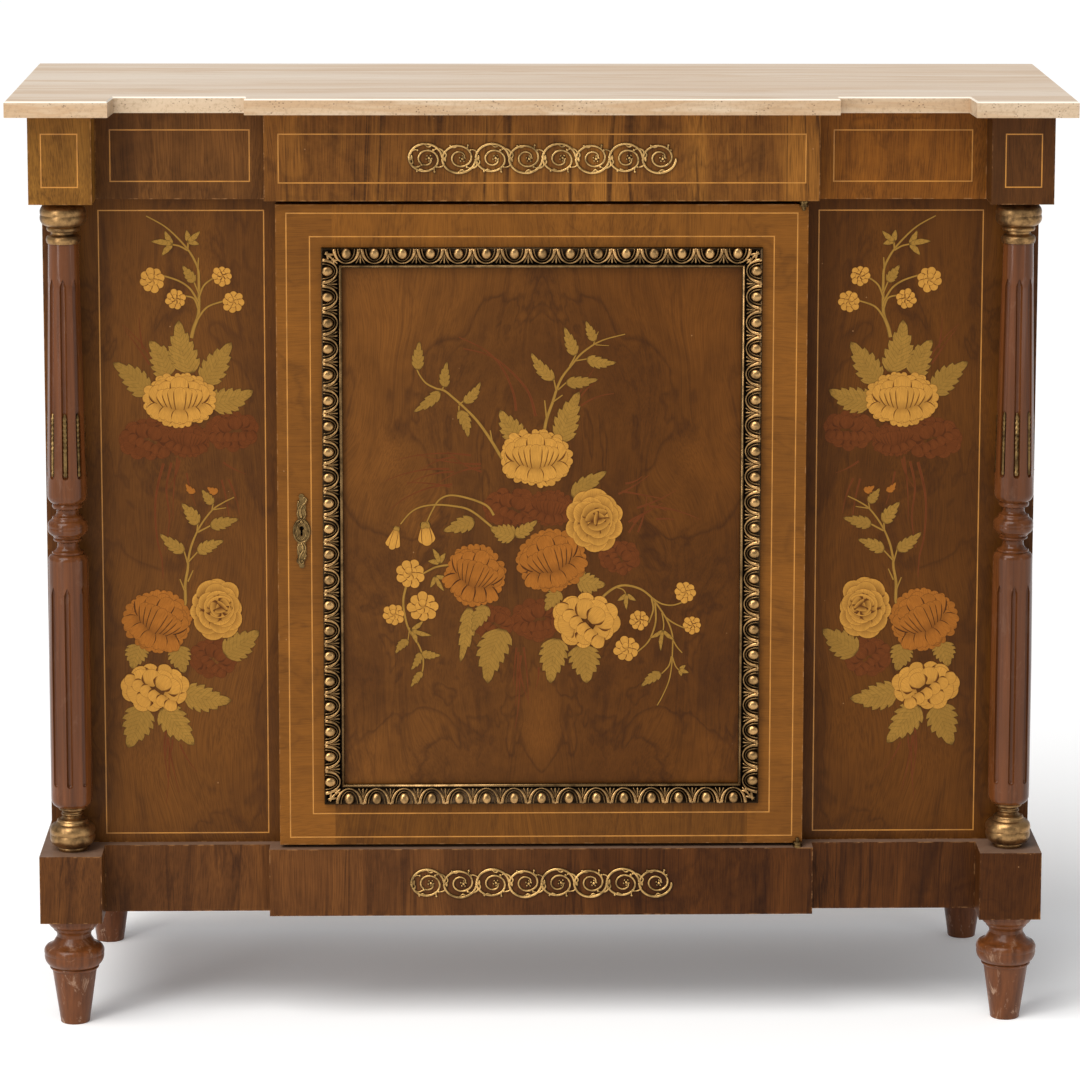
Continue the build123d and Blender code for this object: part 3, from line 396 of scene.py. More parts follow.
def travertine(name):
    """Cream stone with tan bands along its length, pits and soiling on its cut edges, painted shade on the
    faces that do not look up (partly the duller colour of the cut) and a painted highlight along its rounded
    edges.
    """
    finish = Finish(name)
    cream, tan = colours().stone, colours().stone_band
    warp = finish.noise(finish.place(scale=(2.2, 7, 7)), detail=4, rough=0.6)
    lift = finish.node("CombineXYZ", {1: finish.math("MULTIPLY", warp, 0.05)}).outputs[0]
    place = finish.vector("ADD", finish.place(), lift)
    bands = finish.noise(finish.place(scale=(1.3, 26, 26), source=place), detail=5, rough=0.62, warp=0.5)
    tone = finish.ramp(bands, (0.36, cream), (0.5, blend_of(cream, tan, 0.35)), (0.58, tan), (0.66, cream))
    wide = finish.noise(finish.place(scale=(0.9, 8, 8), source=place), detail=3)
    tone = finish.mix(finish.ramp(wide, (0.45, 0.0), (0.7, 0.45)), tone, blend_of(tan, cream, 0.25))
    thin = finish.noise(finish.place(scale=(6, 130, 130), source=place), detail=3, rough=0.7)
    tone = finish.mix(finish.ramp(thin, (0.55, 0.0), (0.7, 0.35)), tone, shade(tan, 0.75))
    spots = {"Vector": finish.place(scale=(1, 1, 1.3)), "Scale": 260.0}
    cells = finish.node("TexVoronoi", spots).outputs["Distance"]
    rarely = finish.ramp(finish.noise(finish.place(), scale=45, detail=3), (0.5, 0.0), (0.6, 1.0))
    side = finish.ramp(finish.math("ABSOLUTE", finish.facing(2)), (0.3, 1.0), (0.7, 0.12))
    pits = finish.math("MULTIPLY", finish.ramp(cells, (0.12, 1.0), (0.3, 0.0)), rarely)
    pits = finish.math("MULTIPLY", pits, side)
    grey = finish.noise(finish.place(), scale=240, detail=4, rough=0.7)
    soiled = finish.math("MULTIPLY", finish.ramp(grey, (0.5, 0.0), (0.7, 0.6)), side)
    tone = finish.mix(soiled, tone, shade(tan, 0.7))
    tone = finish.mix(finish.math("MULTIPLY", pits, 0.85), tone, STONE_PIT)
    slant = finish.math("ABSOLUTE", finish.facing(2))
    # Painted shade on the faces that do not look up, partly the duller colour of the cut edge.
    tone = finish.mix(side, tone, finish.mix(1.0, tone, (0.7, 0.63, 0.53), "MULTIPLY"))
    # Painted highlight along the rounded edges between the top and the sides.
    rising = finish.ramp(slant, (0.3, 0.0), (0.5, 1.0))
    arris_highlight = finish.math("MULTIPLY", rising, finish.ramp(slant, (0.85, 1.0), (0.95, 0.0)))
    tone = finish.mix(finish.math("MULTIPLY", arris_highlight, 0.8), tone, STONE_ARRIS_HIGHLIGHT)
    relief = finish.bump(pits, -0.6, 1.2 * MM, finish.bump(grey, 0.08, 0.4 * MM))
    rough = finish.ramp(thin, (0.3, 0.32), (0.7, 0.5))
    return finish.done(tone, rough, relief, Specular_IOR_Level=0.25)


def plain_wood(name, tone, seed):
    """Unpolished secondary wood, with open grain along the length of a board."""
    finish = Finish(name)
    place = finish.place(shift=(seed, seed, seed))
    rings = finish.noise(finish.place(scale=(1.6, 60, 60), source=place), detail=5, rough=0.6, warp=0.3)
    wood = finish.ramp(rings, (0.3, shade(tone, 0.7)), (0.5, tone), (0.7, shade(tone, 1.15)))
    pores = finish.noise(finish.place(scale=(30, 900, 900), source=place), detail=2)
    wood = finish.mix(finish.ramp(pores, (0.3, 0.35), (0.55, 0.0)), wood, shade(tone, 0.45))
    rough = finish.ramp(pores, (0.3, 0.62), (0.7, 0.75))
    return finish.done(wood, rough, finish.bump(pores, 0.15, 0.3 * MM), Specular_IOR_Level=0.1)


def bright_steel(name):
    """Brushed steel for the lock and the shelf pegs."""
    finish = Finish(name)
    brushed = finish.noise(finish.place(scale=(40, 900, 900)), detail=3)
    tone = finish.ramp(brushed, (0.3, shade(colours().steel, 0.7)), (0.7, colours().steel[:]))
    rough = finish.ramp(brushed, (0.3, 0.28), (0.7, 0.45))
    return finish.done(tone, rough, finish.bump(brushed, 0.05, 0.1 * MM), Metallic=1.0)


def dress(material, *names):
    """Gives CAD nodes a finish, and tells each the box whose edges are worn."""
    for name in names:
        node = NODES[name]
        low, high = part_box(name)
        set_worn_box(node, low, high)
        if not node.material_slots:
            node.data.materials.append(material)
        for place in node.material_slots:
            place.material = material


def set_worn_box(thing, low, high):
    thing["box_mid"] = [(a + b) / 2 for a, b in zip(low, high)]
    thing["box_half"] = [(b - a) / 2 for a, b in zip(low, high)]


class Shape:
    """Points, faces and the values that each point carries, for one piece."""

    def __init__(self):
        self.points = []
        self.faces = []
        self.shades = []
        self.grains = []
        self.tints = []

    def add(self, points, faces, shades=1.0, grains=None, tint=0.0):
        first = len(self.points)
        self.points += [tuple(p) for p in points]
        self.faces += [[first + i for i in face] for face in faces]
        self.shades += [shades] * len(points) if isinstance(shades, (int, float)) else list(shades)
        self.grains += [(0.0, 0.0, 0.0)] * len(points) if grains is None else list(grains)
        self.tints += [tint] * len(points)

    def tube(self, path, radii, sides=8, shades=1.0):
        """A round bar along a path, closed at its ends."""
        rings = []
        side = None
        for i, at in enumerate(path):
            run = (path[min(i + 1, len(path) - 1)] - path[max(i - 1, 0)]).normalized()
            side = run.orthogonal() if side is None else side - run * side.dot(run)
            side.normalize()
            up = run.cross(side)
            for k in range(sides):
                turn = 2 * math.pi * k / sides
                rings.append(at + (side * math.cos(turn) + up * math.sin(turn)) * radii[i])
        faces = []
        for i in range(len(path) - 1):
            for k in range(sides):
                a, b = i * sides + k, i * sides + (k + 1) % sides
                faces.append((a, b, b + sides, a + sides))
        last = (len(path) - 1) * sides
        faces.append(list(reversed(range(sides))))
        faces.append([last + k for k in range(sides)])
        self.add(rings, faces, shades)

    def dome(self, centre, along, across, out, sides=14, rings=7, low=0.3, high=1.0):
        """An egg-shaped swelling. along, across and out are its half axes. Its shade is low over its back
        half, as patina and painted shade, and rises to high at its crown.
        """
        points = [centre - out]
        shades = [low]
        for i in range(1, rings * 2):
            turn = math.pi * i / (rings * 2)
            for k in range(sides):
                spin = 2 * math.pi * k / sides
                level = -math.cos(turn)
                ring = math.sin(turn)
                round_it = along * math.cos(spin) + across * math.sin(spin)
                points.append(centre + out * level + round_it * ring)
                shades.append(low + (high - low) * max(0.0, level) ** 0.6)
        points.append(centre + out)
        shades.append(high)
        faces = [(0, 1 + (k + 1) % sides, 1 + k) for k in range(sides)]
        for i in range(rings * 2 - 2):
            for k in range(sides):
                a, b = 1 + i * sides + k, 1 + i * sides + (k + 1) % sides
                faces.append((a, b, b + sides, a + sides))
        top = len(points) - 1
        first = top - sides
        faces += [(first + k, first + (k + 1) % sides, top) for k in range(sides)]
        self.add(points, faces, shades)

    def piece(self, name, material, body, slot, smooth=True):
        """Makes the object, closes its normals and lets it ride on its body."""
        mesh = bpy.data.meshes.new(name)
        mesh.from_pydata(self.points, [], self.faces)
        build = bmesh.new()
        build.from_mesh(mesh)
        bmesh.ops.recalc_face_normals(build, faces=build.faces)
        build.to_mesh(mesh)
        build.free()
        for label, kind, values in (
            ("shade", "FLOAT", self.shades),
            ("tint", "FLOAT", self.tints),
            ("grain", "FLOAT_VECTOR", [c for grain in self.grains for c in grain]),
        ):
            made = mesh.attributes.new(label, kind, "POINT")
            made.data.foreach_set("vector" if kind == "FLOAT_VECTOR" else "value", values)
        mesh.polygons.foreach_set("use_smooth", [smooth] * len(mesh.polygons))
        mesh.materials.append(material)
        made = bpy.data.objects.new(name, mesh)
        bpy.context.scene.collection.objects.link(made)
        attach(made, body)
        return made


class Ground:
    """A flat veneered face. Places on it are in millimetres, right and up from its middle."""

    def __init__(self, middle_x, face_y, middle_z, flip=1):
        self.middle = Vector((middle_x, face_y, middle_z))
        self.flip = flip

    def at(self, x, z, rise):
        return self.middle + Vector((x * self.flip * MM, -rise, z * MM))


def add_plate(shape, ground, rows, shades, level, grains, tint=0.0):
    """A thin piece of veneer from rows of places, with its edge let down to the ground."""
    high = len(rows)
    wide = len(rows[0])
    rise = sizes().layer * level
    top = [ground.at(x, z, rise) for row in rows for x, z in row]
    base = [ground.at(x, z, -sizes().layer) for row in rows for x, z in row]
    count = high * wide
    faces = []
    for i in range(high - 1):
        for k in range(wide - 1):
            a = i * wide + k
            faces.append((a, a + 1, a + wide + 1, a + wide))
            faces.append((count + a + wide, count + a + wide + 1, count + a + 1, count + a))
    loop = list(range(wide)) + [i * wide + wide - 1 for i in range(1, high)]
    loop += [(high - 1) * wide + k for k in range(wide - 2, -1, -1)]
    loop += [i * wide for i in range(high - 2, 0, -1)]
    for a, b in zip(loop, loop[1:] + loop[:1]):
        faces.append((a, count + a, count + b, b))
    flat = [s for row in shades for s in row]
    shape.add(top + base, faces, flat + [0.0] * count, grains + grains, tint)


def curve_through(places, steps=6):
    """A smooth line through places on the ground."""
    line = []
    for i in range(len(places) - 1):
        before = Vector(places[max(i - 1, 0)])
        a, b = Vector(places[i]), Vector(places[i + 1])
        after = Vector(places[min(i + 2, len(places) - 1)])
        for k in range(steps):
            t = k / steps
            line.append(
                0.5 * (2 * a + (b - before) * t + (2 * before - 5 * a + 4 * b - after) * t**2
                       + (3 * a - before - 3 * b + after) * t**3)
            )
    line.append(Vector(places[-1]))
    return line


def add_stem(shape, ground, start, end, places, level):
    """A stem that tapers from one width to another."""
    line = curve_through(places)
    rows, shades, grains = [], [], []
    run = 0.0
    for i, at in enumerate(line):
        way = (line[min(i + 1, len(line) - 1)] - line[max(i - 1, 0)]).normalized()
        side = Vector((-way.y, way.x))
        half = (start + (end - start) * i / (len(line) - 1)) / 2
        offsets = (-half, -half * 0.6, 0.0, half * 0.6, half)
        rows.append([tuple(at + side * o) for o in offsets])
        shades.append([0.1, 0.8, 1.0, 0.8, 0.1])
        run += (at - line[i - 1]).length if i else 0.0
        grains += [(run * MM, o * MM, 0.0) for o in offsets]
    add_plate(shape, ground, rows, shades, level, grains)


def add_leaf(shape, ground, base, tip, width, level, teeth=4, vein=0.45, tint=0.0, bow=0.12):
    """A leaf with a midrib, from its stalk to its point. Teeth lean towards the point."""
    base, tip = Vector(base), Vector(tip)
    reach = tip - base
    span = reach.length
    way = reach.normalized()
    side = Vector((-way.y, way.x))
    rim = sizes().outline / MM
    rows, shades, grains = [], [], []
    stations = [(0.0, 0.35, 0.0)]
    for k in range(teeth):
        for part, keep, lean in ((0.15, 0.72, 0.0), (0.6, 0.92, 0.0), (0.96, 1.0, 0.05)):
            t = 0.04 + (k + part) / teeth * 0.84
            stations.append((t, keep, lean))
    stations.append((1.0, 0.0, 0.0))
    for t, keep, lean in stations:
        full = math.sin(math.pi * min(1.0, 0.16 + t * 0.84) ** 0.8)
        half = max(0.12, width / 2 * full * keep)
        mid = base + way * span * t + side * math.sin(math.pi * t) * span * bow
        inner = max(0.08, half - rim)
        offsets = (-half, -inner, -min(0.3, inner * 0.5), 0.0, min(0.3, inner * 0.5), inner, half)
        pushed = {half: way * span * lean, inner: way * span * lean * 0.6}
        rows.append([tuple(mid + side * o + pushed.get(abs(o), Vector((0, 0)))) for o in offsets])
        shades.append([0.05, 1.0, 1.0, 1.0 - vein, 1.0, 1.0, 0.05] if 0 < t < 1 else [0.3] * 7)
        grains += [(t * span * MM, o * MM, 0.0) for o in offsets]
    add_plate(shape, ground, rows, shades, level, grains, tint)


def add_petal(shape, ground, base, angle, reach, width, lobes, level, tint=0.0, foot=0.35, cut=0.16,
              dark_foot=0.6, fade=1.6):
    """A petal with a round or scalloped end. The angle is from upright, clockwise. foot is how wide it
    starts, cut how deep its scallops are, and it is shaded from dark_foot to plain as fast as fade says."""
    way = Vector((math.sin(angle), math.cos(angle)))
    side = Vector((way.y, -way.x))
    rim = sizes().outline / MM
    columns = lobes * 6 + 4
    curve = min(0.8, 0.55 * width / reach) if lobes == 1 else 0.4
    rows, shades, grains = [], [], []
    for share in (0.0, 0.2, 0.45, 0.75, 1.0 - rim / reach, 1.0):
        row, tones = [], []
        for k in range(columns + 1):
            u = math.sin(math.pi / 2 * (2 * k / columns - 1))
            bump = abs(math.sin(math.pi * lobes * k / columns)) ** 0.6 if lobes > 1 else 1.0
            edge = reach * (1 - curve + curve * math.sqrt(max(0.0, 1 - u * u))) - reach * cut * (1 - bump)
            near = max(0.0, 1 - rim / (width / 2))
            squeeze = u * (foot + (1 - foot) * math.sin(math.pi / 2 * share**0.8)) * width / 2
            row.append(tuple(Vector(base) + way * edge * share + side * squeeze))
            dark = share == 1.0 or abs(u) > near
            tones.append(0.05 if dark else dark_foot + (1 - dark_foot) * min(1.0, share * fade))
            grains.append((edge * share * MM, squeeze * MM, 0.0))
        rows.append(row)
        shades.append(tones)
    add_plate(shape, ground, rows, shades, level, grains, tint)


def add_ring(shape, ground, middle, radii, count, start, inner, lobes, level, draw, plump=1.12, **look):
    """A ring of petals round the middle of a flower, each on its own level. radii are across and up."""
    order = list(range(count))
    draw.shuffle(order)
    for step, k in enumerate(order):
        turn = start + 2 * math.pi * k / count + draw.uniform(-0.12, 0.12)
        far = Vector((math.sin(turn) * radii[0], math.cos(turn) * radii[1]))
        foot = Vector(middle) + far * inner
        reach = far.length * (1 - inner) * draw.uniform(0.88, 1.08)
        width = 2 * math.pi * far.length / count * plump * draw.uniform(0.88, 1.14)
        angle = math.atan2(far.x, far.y)
        tint = draw.uniform(0, 0.5)
        add_petal(shape, ground, foot, angle, reach, width, lobes, level + step * 0.3, tint, **look)


class Bloom:
    """A large flower: where it lies, and rings and petals measured in shares of its half sizes."""

    def __init__(self, shape, ground, middle, wide, high, tilt, level, seed):
        self.shape, self.ground, self.middle = shape, ground, Vector(middle)
        self.wide, self.high, self.tilt, self.level = wide, high, tilt, level
        self.turned = Matrix.Rotation(-tilt, 2)
        self.draw = random.Random(seed)

    def spot(self, across, up):
        return self.middle + self.turned @ Vector((across * self.wide, up * self.high))

    def ring(self, middle, across, up, count, turn, inner, lobes, level, **look):
        radii = (self.wide * across, self.high * up)
        add_ring(self.shape, self.ground, middle, radii, count, self.tilt + turn, inner, lobes,
                 self.level + level, self.draw, **look)

    def petal(self, place, lean, reach, width, lobes, level, tint, **look):
        add_petal(self.shape, self.ground, self.spot(*place), lean + self.tilt, self.high * reach,
                  self.wide * width, lobes, self.level + level, tint, **look)

    def tint(self, most):
        return self.draw.uniform(0, most)


def add_rose(bloom):
    """A flower that opens to the front. A ring: its share, petals, where they start and its turn."""
    rings = (
        (1.0, 10, 0.45, 1.0), (0.8, 8, 0.3, 0.2), (0.57, 6, 0.2, 0.5),
        (0.36, 4, 0.0, 0.9), (0.18, 3, 0.0, 0.4),
    )
    for k, (share, count, inner, turn) in enumerate(rings):
        shift = 0.14 * (1 - share)
        bloom.ring(bloom.spot(shift, shift), share, share, count, turn, inner, 1, 4 * k, plump=1.25,
                   cut=0.0, dark_foot=0.05, fade=0.9)


def add_cup(bloom):
    """A flower seen from the side: a scalloped saucer, the bowl, a fan of long petals and a collar."""
    bloom.ring(bloom.middle, 1.0, 1.0, 15, 0.0, 0.5, 2, 0, cut=0.2)
    bloom.ring(bloom.middle, 0.84, 0.84, 11, 0.3, 0.45, 1, 5, cut=0.0)
    bloom.petal((0, 0.2), math.pi, 0.76, 1.25, 1, 9, 1.0, foot=0.9, cut=0.0, dark_foot=0.05)
    for step, lean in enumerate((-0.9, 0.88, -0.5, 0.52, 0.0)):
        side = abs(lean) * 0.14
        bloom.petal((lean * 0.5, 0.06 - side), lean * 0.5, 0.74 - side, 0.5, 1, 10 + step * 0.4,
                    bloom.tint(0.3), foot=0.6, cut=0.0)
    for step, lean in enumerate((-1.0, 1.0, -0.62, 0.64, -0.3, 0.34, 0.02)):
        side = abs(lean)
        base = (lean * 0.3, -0.42 + side * 0.16)
        bloom.petal(base, lean * 0.42, 0.86 - side * 0.2, 0.34, 1, 13 + step * 0.4,
                    bloom.tint(0.3), foot=0.55, cut=0.0, dark_foot=0.5)
    for step, lean in enumerate((-1.0, 1.0, -0.5, 0.5, 0.0)):
        base = (lean * 0.52, -0.36 + abs(lean) * 0.14)
        bloom.petal(base, math.pi - lean * 0.7, 0.5, 0.44, 2, 17 + step * 0.4, bloom.tint(0.3), foot=0.6)


def add_fold(bloom):
    """A flower that lies on its side, with folded petals round a dark throat."""
    bloom.ring(bloom.middle, 1.0, 1.0, 11, 0.0, 0.5, 1, 0, cut=0.0)
    bloom.ring(bloom.spot(0, -0.05), 0.84, 0.8, 8, 0.2, 0.4, 1, 4, plump=1.2, cut=0.0)
    upper = (
        (-0.35, 0.0, -0.7, 0.62), (0.34, 0.06, 0.7, 0.6), (-0.12, 0.0, -0.25, 0.7), (0.12, 0.02, 0.3, 0.62),
    )
    for step, (across, up, lean, reach) in enumerate(upper):
        bloom.petal((across, up), lean, reach, 0.58, 1, 8 + step * 0.5, bloom.tint(0.3), cut=0.0)
    for step in range(6):
        across = (step - 2.5) / 2.5
        bloom.petal((across * 0.6, -0.08 - 0.16 * across), math.pi + 0.45 - across * 0.55, 0.46, 0.42, 1,
                    11 + step * 0.4, bloom.tint(0.25), foot=0.6, cut=0.0)


BLOOM_KINDS = {"rose": add_rose, "cup": add_cup, "fold": add_fold}

# Levels of the marquetry, in steps of the veneer layer, from the ground up.
GRASS_LEVEL = 0.4
SHADOW_LEVEL = 4
STEM_LEVEL = 25
LOW_BLOSSOM_LEVEL = 27
LEAF_LEVEL = 29
TREFOIL_LEVEL = 33
BLOSSOM_LEVEL = 34
ORANGE_LEVEL = 36
BLOOM_LEVEL = 57


def add_blossom(shape, ground, middle, radius, level, seed):
    """A small open flower: eight round petals with gaps between them, and a smaller ring above."""
    draw = random.Random(seed)
    start = draw.uniform(0, 1)
    for k in range(8):
        turn = start + 2 * math.pi * k / 8
        foot = Vector(middle) + Vector((math.sin(turn), math.cos(turn))) * radius * 0.2
        reach = radius * draw.uniform(0.72, 0.84)
        add_petal(shape, ground, foot, turn, reach, radius * 0.66, 1, level + k * 0.3, draw.uniform(0, 0.3),
                  foot=0.4, cut=0.0, dark_foot=0.6)
    for k in range(5):
        turn = start + 0.4 + 2 * math.pi / 5 * k
        add_petal(shape, ground, middle, turn, radius * 0.5, radius * 0.5, 1, level + 2.6 + k * 0.3,
                  draw.uniform(0, 0.2), foot=0.3, cut=0.0, dark_foot=0.5)


def add_trefoil(shape, ground, base, tip, width, level):
    """Three leaflets on one stalk."""
    base, tip = Vector(base), Vector(tip)
    reach = tip - base
    for step, (turn, share, bow) in enumerate(((-0.95, 0.72, 0.05), (0.95, 0.72, -0.05), (0.0, 1.0, -0.05))):
        end = base + Matrix.Rotation(turn, 2) @ reach * share
        add_leaf(shape, ground, base, end, width * 0.5, level + step * 0.4, teeth=1, vein=0.2, bow=bow)


def add_bud(blooms, leaves, ground, middle, wide, high, tilt, level):
    """A closed yellow bud under its green cap."""
    turned = Matrix.Rotation(-tilt, 2)
    top = Vector(middle) + turned @ Vector((0, high * 0.45))
    for step, lean in enumerate((-0.5, 0.5, 0.0)):
        reach = high * (1.0 - abs(lean) * 0.2)
        add_petal(blooms, ground, top, math.pi + tilt + lean * 0.5, reach, wide * 0.62, 1, level + step * 0.5,
                  0.1, foot=0.6, cut=0.1)
    cap = top + turned @ Vector((0, wide * 0.2))
    add_petal(leaves, ground, cap, math.pi + tilt, wide * 0.42, wide * 0.6, 2, level + 4, 0.0, foot=0.7)


# What lies on one panel, in millimetres right and up from its middle line and the door's middle.
# A stem or a stroke is its width at each end and its places. A leaf, a trefoil and a petal have a base,
# a tip and a width. A blossom has a middle and a radius. A bloom has a kind, a middle, half sizes across and
# up, and a tilt. A bud has a middle, a width, a height and a tilt. A tuft of grass has a start, a lean from
# upright, how far its blades fan out, their reach, their number and how far apart they start.
PANEL_MIDDLE = 403
Layout = namedtuple(
    "Layout", "stems leaves trefoils blossoms blooms orange shadows strokes grass petals buds"
)

DOOR_LAYOUT = Layout(
    stems=(
        (4.2, 1.7, ((-38, 68), (-46, 81), (-58, 101), (-72, 121), (-86, 136), (-98, 147), (-109, 156),
            (-119, 159), (-130, 165), (-137, 174), (-141, 183))),
        (2.0, 1.6, ((-56, 99), (-58, 111))), (2.4, 1.4, ((-93, 140), (-86, 146))),
        (2.0, 1.3, ((-93, 139), (-93, 131))), (2.0, 1.3, ((-112, 157), (-109, 163))),
        (4.4, 1.4, ((2, 100), (3, 112), (6, 126), (12, 143), (17, 159), (23, 172), (33, 185),
            (43, 197), (53, 205), (61, 210), (73, 215), (93, 220))),
        (2.2, 1.6, ((5, 126), (3, 145))), (2.0, 1.5, ((12, 143), (23, 151))),
        (2.2, 1.5, ((16, 156), (13, 170))), (2.0, 1.5, ((18, 157), (28, 166))),
        (2.2, 1.0, ((31, 184), (38, 197), (41, 206))), (1.7, 0.8, ((57, 207), (63, 223))),
        (1.4, 0.7, ((60, 208), (75, 207))), (1.9, 1.4, ((38, 190), (50, 192))),
        (3.2, 1.7, ((-54, 14), (-62, 25), (-81, 33), (-102, 37), (-115, 32), (-123, 20), (-130, 5))),
        (3.2, 1.6, ((-50, -6), (-59, 3), (-81, 20), (-102, 25), (-122, 26), (-138, 23), (-149, 16),
            (-159, 4))),
        (3.2, 1.8, ((-152, -64), (-156, -82), (-155, -98), (-150, -117), (-139, -135), (-134, -151),
            (-135, -166), (-141, -179))),
        (3.0, 2.2, ((-96, -43), (-106, -43), (-118, -45), (-125, -48), (-136, -54))),
        (1.6, 1.2, ((-149, -115), (-151, -130))),
        (3.4, 1.3, ((60, -92), (67, -82), (80, -71), (91, -67), (102, -68), (113, -72), (122, -79),
            (128, -86), (137, -99), (144, -112), (148, -126), (148, -145), (147, -162), (144, -178),
            (137, -195), (131, -206))),
        (1.8, 1.3, ((84, -69), (92, -72), (96, -79))),
        (2.2, 1.8, ((124, -81), (135, -88), (147, -90), (158, -87))),
        (2.6, 1.8, ((124, -82), (126, -95), (121, -110))),
        (2.5, 1.8, ((128, -87), (129, -107), (125, -123), (119, -134), (108, -144))),
        (1.9, 1.4, ((136, -99), (138, -112), (137, -121))),
        (2.2, 1.6, ((140, -104), (150, -111), (163, -117))),
        (1.8, 1.4, ((148, -129), (153, -138), (159, -145))),
        (2.0, 1.6, ((147, -149), (144, -160), (136, -169))),
        (1.8, 1.4, ((148, -150), (152, -161), (157, -166))),
    ),
    leaves=(
        ((-139, 180), (-137, 212), 15), ((-109, 160), (-106, 189), 13), ((-114, 155), (-144, 132), 14),
        ((-87, 142), (-69, 166), 13), ((-92, 134), (-83, 103), 15), ((13, 168), (-12, 199), 16),
        ((37, 196), (25, 228), 15), ((59, 212), (49, 235), 12), ((50, 192), (83, 188), 15),
        ((27, 165), (63, 169), 15), ((22, 98), (42, 155), 30), ((-22, 98), (-47, 134), 28),
        ((-81, -92), (-92, -155), 20), ((-151, -129), (-165, -145), 11), ((-136, -145), (-114, -147), 11),
        ((-137, -144), (-148, -164), 10), ((-135, -166), (-148, -184), 9), ((-76, 8), (-111, -4), 20),
        ((135, -168), (113, -184), 13), ((34, 35), (73, 64), 22), ((-30, -9), (-58, 0), 24),
        ((-30, -10), (-5, 8), 16), ((40, -61), (72, -66), 26), ((20, -73), (4, -96), 20),
        ((-44, -117), (-61, -180), 38), ((17, -128), (10, -180), 34), ((44, -136), (51, -180), 38),
        ((-62, -90), (-78, -120), 20),
    ),
    trefoils=(
        ((-115, -41), (-123, -24), 16), ((-120, -56), (-110, -73), 14), ((-147, -118), (-124, -124), 15),
        ((96, -77), (96, -95), 14), ((137, -119), (135, -143), 13), ((156, -164), (167, -168), 13),
    ),
    blossoms=(
        ((-148, -53), 17), ((-134, -91), 18), ((-167, -100), 13), ((162, -75), 13), ((110, -107), 12),
        ((96, -140), 15), ((170, -113), 11),
    ),
    blooms=(
        ("cup", (-7, 80), 43, 35, 0.0), ("rose", (59, 7), 33, 37, 0.3), ("fold", (50, -107), 39, 33, 0.5),
    ),
    orange=(
        ("cup", (-75, -55), 36, 38, 0.35), ("cup", (11, -38), 42, 38, -0.35),
    ),
    shadows=(
        ("fold", (-34, 22), 34, 24, 0.2), ("cup", (10, 22), 28, 22, 0.1),
        ("fold", (-6, -106), 30, 26, -0.4), ("fold", (-54, -110), 24, 22, 0.3),
        ("fold", (88, -34), 24, 20, 0.8),
    ),
    strokes=(
        (1.2, 3.0, ((-93, 217), (-62, 201), (-43, 179), (-32, 153), (-29, 133))),
        (1.2, 3.4, ((-88, 204), (-53, 193), (-18, 159), (-7, 127))),
    ),
    grass=(
        ((-88, 62), -1.5, 0.16, 85, 9, 22), ((108, 30), 1.5, 0.3, 55, 7, 22),
        ((-16, -150), 3.1, 0.2, 70, 7, 14), ((40, 130), 0.5, 0.3, 70, 3, 12),
        ((98, -2), 0.5, 0.5, 50, 5, 14),
    ),
    petals=(),
    buds=(
        ((-166, -12), 13, 25, 0.25), ((-130, -8), 20, 24, -0.1),
    ),
)

